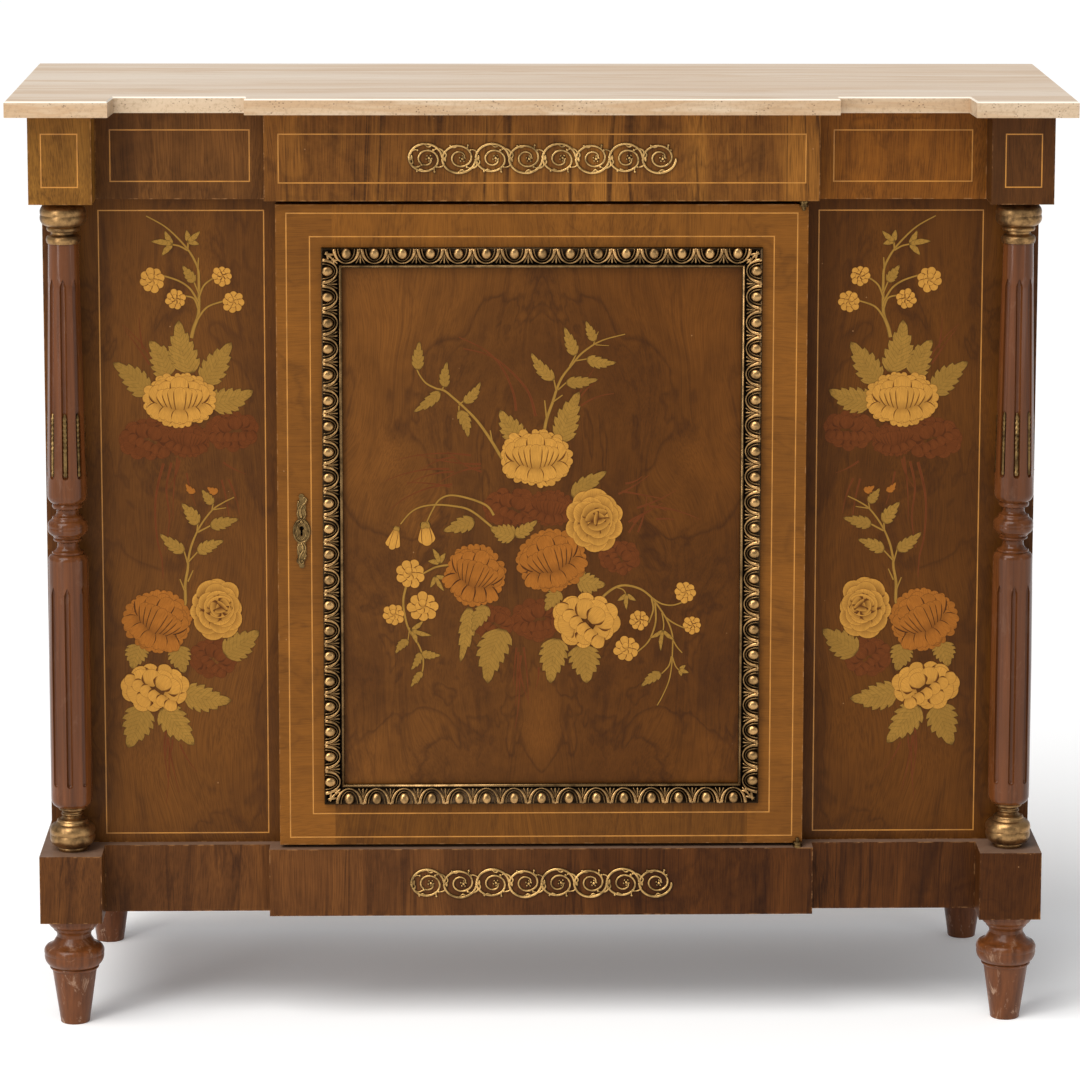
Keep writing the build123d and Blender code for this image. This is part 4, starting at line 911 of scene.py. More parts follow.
# Left panel. The right panel is its mirror image.
SIDE_LAYOUT = Layout(
    stems=(
        (5.0, 1.5, ((10, 212), (13, 224), (18, 238), (19, 257), (19, 275), (18, 291), (10, 308),
            (-2, 323), (-18, 338), (-39, 350))),
        (2.4, 1.9, ((7, 311), (-2, 316), (-12, 318))), (2.4, 1.7, ((7, 313), (8, 326))),
        (2.2, 1.6, ((19, 262), (13, 277))), (2.4, 1.4, ((18, 290), (19, 303))),
        (2.8, 2.0, ((18, 253), (9, 268), (-4, 277), (-22, 283))),
        (2.6, 2.0, ((18, 245), (13, 257), (0, 260))), (2.6, 2.0, ((19, 258), (25, 272), (37, 281))),
        (2.8, 2.0, ((17, 233), (28, 247), (47, 254))),
        (4.4, 1.5, ((-2, -96), (0, -90), (0, -70), (3, -53), (4, -41), (8, -24), (17, -4), (31, 15),
            (44, 24), (56, 30))),
        (2.2, 1.4, ((-1, -77), (-6, -64))), (2.2, 1.4, ((3, -67), (9, -54))),
        (2.2, 1.7, ((3, -46), (-1, -31))), (2.2, 1.7, ((4, -44), (15, -32))),
        (2.2, 1.7, ((14, -10), (15, 2))), (2.4, 1.9, ((15, -10), (30, -2))),
        (1.9, 1.3, ((31, 15), (33, 26))), (1.9, 1.0, ((33, 16), (47, 18))),
    ),
    leaves=(
        ((14, 275), (1, 294), 13), ((-40, 148), (-78, 184), 30), ((-17, 168), (-37, 209), 32),
        ((9, 172), (-4, 232), 34), ((24, 160), (55, 207), 32), ((30, 138), (79, 152), 32),
        ((-1, -33), (-28, -12), 16), ((14, -33), (44, -20), 16), ((15, -1), (-3, 23), 17),
        ((29, -3), (61, 5), 16), ((32, 22), (20, 39), 12), ((44, -152), (83, -124), 34),
        ((-3, -196), (51, -205), 34), ((-50, -212), (-67, -260), 38), ((-27, -213), (8, -257), 35),
        ((-52, -140), (-61, -168), 28), ((-9, -142), (-2, -173), 28),
    ),
    trefoils=(
        ((-10, 318), (-34, 321), 18), ((7, 321), (21, 333), 17),
    ),
    blossoms=(
        ((-33, 278), 15), ((-7, 256), 12), ((45, 282), 12), ((57, 253), 13),
    ),
    blooms=(
        ("cup", (-4, 142), 44, 33, 0.0), ("rose", (35, -99), 31, 37, 0.4),
        ("fold", (-36, -190), 39, 29, 0.35),
    ),
    orange=(
        ("cup", (-32, -113), 40, 39, 0.5),
    ),
    shadows=(
        ("fold", (-40, 97), 34, 25, 0.2), ("cup", (4, 96), 28, 21, 0.1),
        ("fold", (55, 106), 30, 24, -0.3), ("fold", (30, -156), 28, 23, 0.5),
    ),
    strokes=(
        (3.4, 1.2, ((-23, 69), (-30, 42), (-33, 16), (-31, -18), (-26, -41), (-25, -64))),
        (3.0, 1.0, ((-14, 70), (-20, 40), (-17, 5), (-22, -30))),
        (3.0, 1.0, ((-20, -225), (-26, -258), (-22, -296))),
    ),
    grass=(
        ((-6, 70), 3.2, 0.3, 90, 3, 12), ((44, 60), 2.6, 0.4, 70, 3, 12),
        ((-14, -250), 3.1, 0.25, 70, 5, 10), ((-40, 190), -0.4, 0.3, 80, 3, 10),
    ),
    petals=(
        ((12, 35), (2, 46), 9), ((38, 36), (26, 42), 10),
    ),
    buds=(),
)


def add_grass(shape, ground, strokes, tufts, seed):
    """Long strokes and tufts of thin curved blades, all under the flowers."""
    draw = random.Random(seed)
    level = itertools.count(0, 0.045)
    for start, end, places in strokes:
        add_stem(shape, ground, start, end, places, GRASS_LEVEL + next(level))
    for start, lean, fan, reach, count, apart in tufts:
        for k in range(count):
            angle = lean + fan * ((k + 0.5) / count - 0.5) * 2 + draw.uniform(-0.08, 0.08)
            bend = draw.uniform(-0.7, 0.7)
            far = reach * draw.uniform(0.35, 1.0)
            places = [(start[0] + draw.uniform(-apart, apart), start[1] + draw.uniform(-apart, apart))]
            for step in range(1, 5):
                turn = angle + bend * step / 4
                last = places[-1]
                places.append((last[0] + math.sin(turn) * far / 4, last[1] + math.cos(turn) * far / 4))
            add_stem(shape, ground, 2.4, 0.6, places, GRASS_LEVEL + next(level))


def lay_marquetry(where, ground, body, layout, seed, low_blossom=None):
    """Makes the six groups of veneer pieces of one panel. Each piece lies on its own level, so none tear."""
    names = ("grass", "shadow_blooms", "stems", "leaves", "blooms", "orange_blooms")
    shapes = {name: Shape() for name in names}
    add_grass(shapes["grass"], ground, layout.strokes, layout.grass, seed)
    for name, rows, level, first in (
        ("shadow_blooms", layout.shadows, SHADOW_LEVEL, seed),
        ("orange_blooms", layout.orange, ORANGE_LEVEL, seed + 40),
        ("blooms", layout.blooms, BLOOM_LEVEL, seed + 60),
    ):
        for k, (kind, *place) in enumerate(rows):
            bloom = Bloom(shapes[name], ground, *place, level + k * 0.13, first + k)
            BLOOM_KINDS[kind](bloom)
    for k, (start, end, places) in enumerate(layout.stems):
        add_stem(shapes["stems"], ground, start, end, places, STEM_LEVEL + k * 0.11)
    draw = random.Random(seed)
    for k, (base, tip, width) in enumerate(layout.leaves):
        teeth = 5 if width > 22 else 4
        bow = draw.uniform(-0.08, 0.08)
        tint = draw.uniform(0, 0.4)
        add_leaf(shapes["leaves"], ground, base, tip, width, LEAF_LEVEL + k * 0.11, teeth, tint=tint, bow=bow)
    for k, (base, tip, width) in enumerate(layout.trefoils):
        add_trefoil(shapes["leaves"], ground, base, tip, width, TREFOIL_LEVEL + k * 0.13)
    for k, (middle, radius) in enumerate(layout.blossoms):
        level = LOW_BLOSSOM_LEVEL if k == low_blossom else BLOSSOM_LEVEL
        add_blossom(shapes["blooms"], ground, middle, radius, level + k * 0.07, seed + 20 + k)
    for k, (base, tip, width) in enumerate(layout.petals):
        add_leaf(shapes["orange_blooms"], ground, base, tip, width, BLOSSOM_LEVEL + k * 0.11, 3)
    for middle, wide, high, tilt in layout.buds:
        add_bud(shapes["blooms"], shapes["leaves"], ground, middle, wide, high, tilt, BLOSSOM_LEVEL)
    for name in names:
        finish = bpy.data.materials[f"marquetry {name}"]
        shapes[name].piece(f"{where}_{name}", finish, body, "marquetry_ground", smooth=False)


def marquetry_finishes():
    """The six coloured woods of the marquetry."""
    tones = colours()
    marquetry_wood("marquetry grass", tones.grass, blend_of(tones.grass, tones.ground, 0.6), streak=0.6)
    marquetry_wood("marquetry shadow_blooms", tones.shadow_bloom, shade(tones.shadow_bloom, 0.5), streak=0.6)
    marquetry_wood("marquetry stems", tones.leaf, shown(92, 62, 26))
    marquetry_wood("marquetry leaves", tones.leaf, shown(62, 40, 14), veins=0.6)
    marquetry_wood("marquetry blooms", tones.bloom, shown(88, 48, 14))
    marquetry_wood("marquetry orange_blooms", tones.orange, shown(64, 32, 10))


def string_frame(shape, face_y, left, right, low, high):
    """A rectangle of boxwood string let into a face. Sizes are in metres."""
    width = sizes().string_width
    rise = sizes().string_rise
    ring = []
    for grow in (width / 2, -width / 2):
        bottom, top = low - grow, high + grow
        ring.append([(left - grow, bottom), (right + grow, bottom), (right + grow, top), (left - grow, top)])
    points = []
    for depth in (face_y - rise, face_y + rise):
        for loop in ring:
            points += [Vector((x, depth, z)) for x, z in loop]
    faces = []
    for k in range(4):
        n = (k + 1) % 4
        faces += [(k, n, 4 + n, 4 + k), (8 + n, 8 + k, 12 + k, 12 + n)]
        faces += [(k, 8 + k, 8 + n, n), (4 + n, 12 + n, 12 + k, 4 + k)]
    shape.add(points, faces)


def inset(low, high, insets):
    """The sides of a box from the front, moved in at its left, right, foot and head."""
    left, right, foot, head = (size * MM for size in insets)
    return low.x + left, high.x - right, low.z + foot, high.z - head


def string_piece(name, body, face_y, rectangles):
    shape = Shape()
    for rectangle in rectangles:
        string_frame(shape, face_y, *rectangle)
    return shape.piece(name, bpy.data.materials["boxwood"], body, "walnut_crossband", smooth=False)


# The strings of one face: a name, a body, the nodes at its left and right, and insets from the left, right,
# foot and head for each rectangle.
STRINGS = (
    ("door_stringing", "door", "door_stile_left", "door_stile_right",
     ((12, 12, 8.7, 9.8), (38, 38, 36.2, 36))),
    ("drawer_stringing", "drawer", "drawer_front", "drawer_front", ((16.2, 16.2, 20.5, 22.7),)),
)
# The strings of two faces that mirror each other: a name, the nodes' name and insets from the outer side, the
# inner side, the foot and the head.
PAIRED_STRINGS = (
    ("panel_stringing", "front_panel", (44.5, 31, 10.7, 14.3)),
    ("frieze_stringing", "frieze_side_front", (16.5, 43.3, 20, 21.5)),
    ("block_stringing", "frieze_block", (14.5, 15.5, 19.5, 20.6)),
)


class MouldingLength:
    """One side of the moulding. s runs along it, t in from its outer edge and h out from the door."""

    def __init__(self, corner, along, inward):
        self.corner, self.along, self.inward = Vector(corner), Vector(along), Vector(inward)

    def at(self, s, t, h):
        return self.corner + (self.along * s + self.inward * t + Vector((0, -1, 0)) * h) * MM

    def way(self, s, t, h):
        return (self.along * s + self.inward * t + Vector((0, -1, 0)) * h) * MM


def bed_height(t):
    """Height of the sloping bed that the eggs lie on, in millimetres."""
    return 6.0 - 4.4 * (max(t, 0.0) / 19.5) ** 1.25


def add_moulding_bed(shape, side, half):
    """The strip under the eggs: a high outer edge, the bed, a groove and the plain inner fillet."""
    # Each place is its distance in, its height and its shade. The low shades on the bed, in the groove and at
    # the foot of the outer edge darken the brass with patina and painted shade.
    section = [(0.0, 0.0, 0.05), (0.0, 4.6, 0.1), (0.7, 5.4, 0.2)]
    section += [(t, bed_height(t), 0.12) for t in (1.6, 4, 7, 10, 13, 16, 18.2)]
    section += [(19.4, 1.4, 0.0), (20.0, 3.3, 0.3), (20.6, 3.8, 0.45)]
    section += [(22.2, 3.8, 0.45), (23.0, 3.0, 0.3), (23.0, 0.0, 0.05)]
    points, shades, faces = [], [], []
    for end in (-1, 1):
        for t, h, tone in section:
            points.append(side.at(end * (half - t), t, h))
            shades.append(tone)
    count = len(section)
    for k in range(count):
        n = (k + 1) % count
        faces.append((k, n, count + n, count + k))
    faces += [list(range(count)), list(reversed(range(count, 2 * count)))]
    shape.add(points, faces, shades)


def add_egg_unit(shape, side, s0, pitch):
    """An egg in its shell. The shell's arms swell at the outer edge until they meet the next ones."""
    egg_half, lean = 6.4, 0.12
    axes = side.way(5.6, 0, 0), side.way(0, egg_half, -egg_half * lean), side.way(0, 0.1, 4.0)
    shape.dome(side.at(s0, 6.7, 4.6), *axes, sides=18, rings=7, low=0.1, high=1.0)
    half = pitch / 2
    # Each shell: half width, depth, thickness at the ends and at the bend, and tone. The inner shell's low
    # tone is patina and painted shade.
    shells = ((half - 1.9, 16.4, 2.2, 0.85, 1.0), (half - 6.2, 13.6, 0.75, 0.55, 0.35))
    for wide, deep, thick, thin, tone in shells:
        path, radii, shades = [], [], []
        steps = 20
        for k in range(steps + 1):
            turn = math.pi * k / steps
            t = 1.2 + deep * math.sin(turn) ** 0.85
            across = -wide * math.cos(turn) * (1 - 0.08 * math.sin(turn))
            path.append(side.at(s0 + across, t, bed_height(t) + 0.35))
            end = abs(math.cos(turn)) ** 3
            radii.append((thin + (thick - thin) * end) * MM)
            # Painted highlight: the arms brighten towards their swollen ends by the outer edge, and darken
            # round the bend with patina and painted shade.
            shades += [0.15 + 0.85 * tone * (0.45 + 0.55 * end)] * 8
        shape.tube(path, radii, 8, shades)


def add_dart_unit(shape, side, s0):
    """The crown where two shells meet at the outer edge, and the leaf that fills the angle under it."""
    bend = ((-3.3, 4.6), (-1.6, 2.4), (0, 1.5), (1.6, 2.4), (3.3, 4.6))
    crown = [side.at(s0 + across, t, bed_height(t) + 1.1) for across, t in bend]
    shape.tube(crown, [0.7 * MM, 1.1 * MM, 1.3 * MM, 1.1 * MM, 0.7 * MM], 8, 1.0)
    for lean in (-1, 0, 1):
        path, radii = [], []
        for k in range(7):
            share = k / 6
            t = 6.4 + 11.4 * share
            path.append(side.at(s0 + lean * 5.0 * share**1.3, t, bed_height(t) + 0.2))
            radii.append((0.4 + 0.75 * share * (1 - 0.35 * abs(lean))) * MM)
        # The leaf's lines are darker than the crown, with patina and painted shade.
        shape.tube(path, radii, 6, [0.42 if lean else 0.6] * 42)


def add_corner_leaf(shape, side, half):
    """A small leaf on the mitre."""
    for share, size in ((0.32, 1.0), (0.62, 0.8)):
        t = 22.0 * share
        middle = side.at(half - t, t, bed_height(t) + 0.6)
        for spread in (-0.7, 0.7, 0.0):
            turn = 0.75 * math.pi + spread
            run, rise = math.cos(turn) * size, math.sin(turn) * size
            way = side.way(run * 6.5, rise * 6.5, -0.6)
            axes = way, side.way(-rise * 1.6, run * 1.6, 0), side.way(0, 0, 1.5)
            shape.dome(middle + way * 0.35, *axes, sides=8, rings=3, low=0.1, high=0.85)


def scroll_line(middle_x, flip, half_x, half_z):
    """The branch of one scroll: from the stem's joint on the left, round below and into the volute."""
    line = []
    steps = 56
    for k in range(steps + 1):
        share = k / steps
        turn = math.radians(180 + 590 * share)
        shrink = 1 - 0.82 * share**0.9
        drift = 1.8 * share
        x = middle_x + drift + math.cos(turn) * half_x * shrink
        line.append((x, flip * (math.sin(turn) * half_z * shrink - drift)))
    return line


class Casting:
    """Cast brass laid on a face. Places on it are in millimetres, right and up from its middle. A lower tone,
    or a knob's low back, darkens the brass with patina and painted shade.
    """

    def __init__(self, middle_x, face, middle_z, lift):
        self.shape = Shape()
        self.middle = Vector((middle_x, face, middle_z))
        self.lift = lift

    def at(self, x, z, rise):
        return self.middle + Vector((x, -rise, z)) * MM

    def bar(self, line, start, end, tone=1.0, rise=0.0):
        """A round bar through places, from one thickness to another."""
        path = [self.at(x, z, self.lift + rise) for x, z in line]
        count = len(path) - 1
        radii = [(start + (end - start) * k / count) * MM / 2 for k in range(count + 1)]
        self.shape.tube(path, radii, 8, tone)

    def knob(self, x, z, radius, rise, tone=1.0, rings=3, low=0.1):
        axes = [Vector(axis) * radius * MM for axis in ((1, 0, 0), (0, 0, 1), (0, -1, 0))]
        self.shape.dome(self.at(x, z, rise), *axes, 10, rings, low=low, high=tone)

    def curl(self, start, way, size, swing, thick, tone=0.9):
        """A curled bud that ends in a knob."""
        start, way = Vector(start), Vector(way).normalized()
        line = []
        for step in range(10):
            share = step / 9
            line.append(tuple(start + Matrix.Rotation(swing * share, 2) @ way * size * share))
        self.bar(line, thick, thick * 0.55, tone, rise=0.25)
        self.knob(*line[-1], thick * 0.62, 1.3)


# Buds on a scroll: where they grow, in degrees round it, their length and how far they swing, in radians.
SCROLL_BUDS = ((205, 7.5, 1.5), (262, 7.0, 1.6), (322, 6.5, 1.6), (70, 6.0, -1.4))


def add_scroll(casting, middle_x, flip, half_x, half_z, wire, joined):
    """One scroll: its half of the stem, the branch that coils inside it, a rosette and curled buds."""
    stem = []
    for k in range(21):
        turn = math.pi - math.pi * k / 20
        stem.append((middle_x + math.cos(turn) * half_x, flip * math.sin(turn) * half_z))
    casting.bar(stem, wire * 1.05, wire * 1.05)
    line = scroll_line(middle_x, flip, half_x, half_z)
    casting.bar(line, wire, wire * 0.62, 0.95, rise=0.1)
    x, z = line[-1]
    casting.knob(x, z, 2.1, 1.0)
    for k in range(5):
        turn = 2 * math.pi * k / 5 + flip
        casting.knob(x + math.cos(turn) * 3.2, z + math.sin(turn) * 3.2, 1.25, 0.8, 0.75)
    for degrees, size, swing in SCROLL_BUDS:
        turn = math.radians(degrees)
        foot = (middle_x + math.cos(turn) * half_x * 0.93, flip * math.sin(turn) * half_z * 0.93)
        casting.curl(foot, (middle_x - foot[0], -foot[1]), size, swing * flip, wire * 0.8, 0.8)
    left = middle_x - half_x
    swing = -1.3 if joined else 1.3
    casting.curl((left + 2.0, -flip * half_z * 0.3), (0.1, -flip), 12.5, swing * flip, wire * 0.95)
    casting.curl((left + 2.0, flip * half_z * 0.3), (0.0, flip), 9.0, -swing * 0.8 * flip, wire * 0.8)
    for lean in (-0.55, 0.0, 0.55):
        axes = Vector((1.5 * MM, 0, 0)), Vector((0, 0, 3.4 * MM)), Vector((0, -1.5 * MM, 0))
        middle = casting.at(left + 1.6 + lean * 3.2, flip * abs(lean) * 2.0, 0.9)
        casting.shape.dome(middle, *axes, 8, 3, low=0.15, high=0.85)


def make_mount(name, body, node, count=8):
    """A pierced brass strip of scrolls that turn up and down by turns."""
    low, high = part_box(node)
    wire = sizes().mount_wire / MM
    pitch = (high.x - low.x) / MM / count
    half_z = (high.z - low.z) / MM / 2 - wire * 0.55
    casting = Casting(0, high.y, (low.z + high.z) / 2, wire * 0.3)
    for k in range(count):
        middle_x = (k - (count - 1) / 2) * pitch
        add_scroll(casting, middle_x, 1 if k % 2 == 0 else -1, pitch / 2, half_z, wire, k > 0)
    made = casting.shape.piece(name, bpy.data.materials["gilt brass"], body, "aged_brass")
    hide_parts(node)


# The relief on the keyhole plate. A bar is its places, its thickness at each end and its tone.
KEY_MIRRORED_BARS = (
    (((2, 14), (4.6, 19), (3.4, 25), (0.8, 30)), 2.2, 1.4, 1.0),
    (((2, -14), (4.4, -18), (3.0, -24), (0.8, -29)), 2.2, 1.4, 1.0),
    (((7.6, -8), (6.0, -6), (5.8, -4)), 1.5, 0.8, 0.7),
    (((7.6, -2), (6.0, 0), (5.8, 2)), 1.5, 0.8, 0.7),
    (((7.6, 4), (6.0, 6), (5.8, 8)), 1.5, 0.8, 0.7),
)
KEY_BARS = (
    (((-1, 16), (-1.5, 23), (1, 29), (4.5, 33), (5.5, 36.5), (3.5, 38.5), (1.8, 37.0), (2.6, 35.2)),
     3.0, 1.5, 1.0),
    (((1, 15), (-2.5, 26), (-4.5, 30), (-3.0, 33)), 2.2, 1.2, 0.85),
    (((1, -16), (1.5, -22), (-1.5, -27), (-3.0, -32), (-2.0, -36.5), (1.0, -37.5), (2.2, -35.2),
      (0.6, -33.6)), 2.8, 1.5, 1.0),
    (((-1, -17), (3.0, -24), (4.8, -28), (3.4, -31)), 2.0, 1.2, 0.85),
)
KEY_KNOBS = (
    (0, 10.6, 2.5), (5.6, 35.6, 1.5), (-3.2, 33.4, 1.6), (3.4, -31.2, 1.6), (0, -14.8, 2.0), (0, 16.0, 1.8),
    (0.6, -34.0, 1.5),
)
KEY_RIMS = ((8.8, 13.0, 2.0), (5.2, 9.6, 1.3))
KEY_DROP = 3


def make_key_relief():
    """The cast relief on the keyhole plate: two rims, a scroll above and a tail below."""
    low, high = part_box("key_plate")
    casting = Casting((low.x + high.x) / 2, low.y, DOOR_MIDDLE - KEY_DROP * MM, 0.3)
    for wide, tall, thick in KEY_RIMS:
        turns = [2 * math.pi * k / 24 for k in range(25)]
        ring = [(wide * math.sin(turn), tall * math.cos(turn)) for turn in turns]
        casting.bar(curve_through(ring, 5), thick, thick, 0.9)
    for places, start, end, tone in KEY_MIRRORED_BARS:
        for mirror in (-1, 1):
            casting.bar(curve_through([(x * mirror, z) for x, z in places], 5), start, end, tone)
    for places, start, end, tone in KEY_BARS:
        casting.bar(curve_through(places, 5), start, end, tone)
    for x, z, radius in KEY_KNOBS:
        casting.knob(x, z, radius, 0.3, rings=4, low=0.3)
    casting.shape.piece("key_plate_relief", bpy.data.materials["key brass"], "door", "aged_brass")


# The camera that took the photo, in metres and radians. The lens is in millimetres on a 36 mm wide film.
CAMERA_PLACE = (-0.083954, -5.320676, 1.600280)
CAMERA_PITCH, CAMERA_ROLL, CAMERA_YAW = -0.1644, -0.0030, -0.0266
CAMERA_LENS = 155.9
CAMERA_SHIFT = (-0.0482, -0.15)
SUN_WAY = (0.45, 0.52, -1.0)
SUN_STRENGTH = 2.15
SKY_STRENGTH = 0.42
# Soft boxes: a name, a place, a width and a height in metres, and a power in watts.
SOFT_BOXES = (
    ("left soft box", (-2.1, -2.3, 1.5), 0.6, 2.2, 26),
    ("right soft box", (2.6, -2.2, 1.4), 0.4, 2.0, 6),
)
FLOOR_HALF = 60


class CABINET_OT_stage(bpy.types.Operator):
    """Sets up the pale floor, which glows a little as painted light, the soft studio lights and the camera"""

    bl_idname = "cabinet.stage"
    bl_label = "Stage"

    def execute(self, context):
        self.lay_floor(context.scene)
        self.set_lights(context.scene)
        self.set_camera(context.scene)
        context.scene.view_settings.view_transform = "Standard"
        return {"FINISHED"}

    def lay_floor(self, scene):
        build = bmesh.new()
        bmesh.ops.create_grid(build, x_segments=2, y_segments=2, size=FLOOR_HALF)
        mesh = bpy.data.meshes.new("floor")
        build.to_mesh(mesh)
        build.free()
        floor = bpy.data.objects.new("floor", mesh)
        scene.collection.objects.link(floor)
        finish = Finish("studio floor")
        soft = finish.noise(finish.place(), scale=2, detail=2)
        tone = finish.ramp(soft, (0.3, shade(colours().floor, 0.985)), (0.7, colours().floor[:]))
        rough = finish.ramp(soft, (0.3, 0.85), (0.7, 0.9))
        # Painted light: the floor glows a little, which whitens it and lifts the shadows under the cabinet.
        glow = {"Emission_Color": (1.0, 1.0, 1.0, 1.0), "Emission_Strength": 0.13}
        mesh.materials.append(finish.done(tone, rough, finish.bump(soft, 0.02, MM), **glow))

    def set_lights(self, scene):
        world = bpy.data.worlds.new("studio")
        world.use_nodes = True
        sky = world.node_tree.nodes["Background"]
        sky.inputs["Color"].default_value = (0.95, 0.97, 1.0, 1)
        sky.inputs["Strength"].default_value = SKY_STRENGTH
        scene.world = world
        sun = bpy.data.lights.new("soft sun", "SUN")
        sun.energy = SUN_STRENGTH
        sun.angle = 0.75
        sun.color = (1.0, 0.985, 0.96)
        thing = bpy.data.objects.new("soft sun", sun)
        thing.rotation_euler = Vector(SUN_WAY).to_track_quat("-Z", "Y").to_euler()
        scene.collection.objects.link(thing)
        aim = Vector((0, 0, 0.6))
        for name, place, wide, tall, power in SOFT_BOXES:
            lamp = bpy.data.lights.new(name, "AREA")
            lamp.shape = "RECTANGLE"
            lamp.size = wide
            lamp.size_y = tall
            lamp.energy = power
            thing = bpy.data.objects.new(name, lamp)
            thing.location = place
            thing.rotation_euler = (aim - Vector(place)).to_track_quat("-Z", "Y").to_euler()
            scene.collection.objects.link(thing)

    def set_camera(self, scene):
        lens = bpy.data.cameras.new("camera")
        lens.sensor_width = 36
        lens.lens = CAMERA_LENS
        lens.shift_x, lens.shift_y = CAMERA_SHIFT
        lens.clip_end = 200
        camera = bpy.data.objects.new("camera", lens)
        turn = Matrix.Rotation(CAMERA_YAW, 3, "Z") @ Matrix.Rotation(CAMERA_ROLL, 3, "Y")
        turn = turn @ Matrix.Rotation(CAMERA_PITCH, 3, "X") @ Matrix.Rotation(math.pi / 2, 3, "X")
        camera.matrix_world = Matrix.Translation(CAMERA_PLACE) @ turn.to_4x4()
        scene.collection.objects.link(camera)
        scene.camera = camera


class CABINET_OT_stone(bpy.types.Operator):
    """Gives the top its travertine"""

    bl_idname = "cabinet.stone"
    bl_label = "Stone top"

    def execute(self, context):
        dress(travertine("travertine"), "stone_top")
        return {"FINISHED"}


class CABINET_OT_veneer(bpy.types.Operator):
    """Veneers the frieze, plinth, sides, panels and door"""

    bl_idname = "cabinet.veneer"
    bl_label = "Veneer"

    def execute(self, context):
        tone = colours()
        dark, ground, border = tone.walnut_dark[:], tone.ground[:], tone.border[:]
        pale_border = shade(border, 1.2)
        # The right tints of the plinth and the door panel are painted shade on the cabinet's right side.
        rows = (
            (("drawer_front",), "figured walnut", tone.walnut[:], tone.walnut_light[:],
             {"streaks": 0.9, "figure": 0.5, "seed": 0.13}),
            (("frieze_block_left",), "golden walnut", tone.golden[:], tone.golden_light[:],
             {"streaks": 0.15, "seed": 0.9}),
            (("frieze_side_front_right",), "amber walnut", tone.amber[:], tone.amber_light[:],
             {"streaks": 0.2, "seed": 0.5}),
            (("frieze_side_front_left", "frieze_side_left", "frieze_side_right"), "brown walnut",
             tone.brown[:], tone.brown_light[:], {"streaks": 0.35, "seed": 1.7}),
            (("frieze_block_right",), "deep walnut", tone.deep[:], tone.deep_light[:],
             {"streaks": 0.3, "seed": 2.0}),
            (("plinth_block_left", "plinth_block_right", "plinth_rail", "plinth_front", "plinth_side_left",
              "plinth_side_right", "floor_board"), "plinth walnut", tone.plinth[:], tone.plinth_light[:],
             {"streaks": 0.75, "figure": 0.6, "seed": 2.3, "dust": 0.8, "right": (0.62, 0.54, 0.42)}),
            (("carcass_side_left", "carcass_side_right"), "side walnut", tone.side[:], tone.side_light[:],
             {"streaks": 0.5, "seed": 3.1}),
            (("door_panel",), "book-matched walnut", ground, shade(ground, 1.35),
             {"streaks": 0.3, "figure": 2.0, "seed": 5.4, "match": True, "cloudy": 0.9, "grain": 0.35,
              "right": (0.8, 0.74, 0.6)}),
            (("door_stile_left", "door_stile_right"), "crossband", border, pale_border,
             {"along": "X", "streaks": 0.12, "figure": 0.8, "seed": 6.1, "cloudy": 0.45, "grain": 0.25}),
            (("door_rail_top",), "crossband rail", border, pale_border,
             {"streaks": 0.25, "figure": 0.9, "seed": 7.2, "cloudy": 0.4, "grain": 0.4}),
            (("door_rail_bottom",), "crossband foot", shade(border, 0.72), shade(border, 0.9),
             {"streaks": 0.35, "figure": 0.9, "seed": 8.3, "cloudy": 0.4, "grain": 0.5}),
        )
        for names, name, middle, light, look in rows:
            dress(veneer(name, middle, light, dark, **look), *names)
        # Its right tint is painted shade on the right-hand panel.
        panel = veneer("panel walnut", shade(ground, 0.93), shade(ground, 1.08), shade(dark, 1.2),
                       streaks=0.25, figure=1.4, seed=4.2, match=True, cloudy=0.8, grain=0.7,
                       right=(0.84, 0.78, 0.6))
        dress(panel, "front_panel_left", "front_panel_right")
        for name in ("door_stile_left", "door_stile_right", "door_rail_top", "door_rail_bottom"):
            set_worn_box(NODES[name], DOOR_LOW, DOOR_HIGH)
        return {"FINISHED"}


class CABINET_OT_inside(bpy.types.Operator):
    """Gives the inner boards, the drawer box and the lock their plain finishes"""

    bl_idname = "cabinet.inside"
    bl_label = "Inside"

    def execute(self, context):
        wood = plain_wood("secondary wood", colours().secondary[:], 0.4)
        dress(wood, "frieze_board", "frieze_back", "top_rail", "plinth_back", "rear_foot_blocks",
              "back_panel", "shelf", "drawer_side_left", "drawer_side_right", "drawer_back",
              "drawer_bottom", "drawer_guides")
        dress(bright_steel("steel"), "lock_bolt", "shelf_pegs", "lock_case")
        return {"FINISHED"}


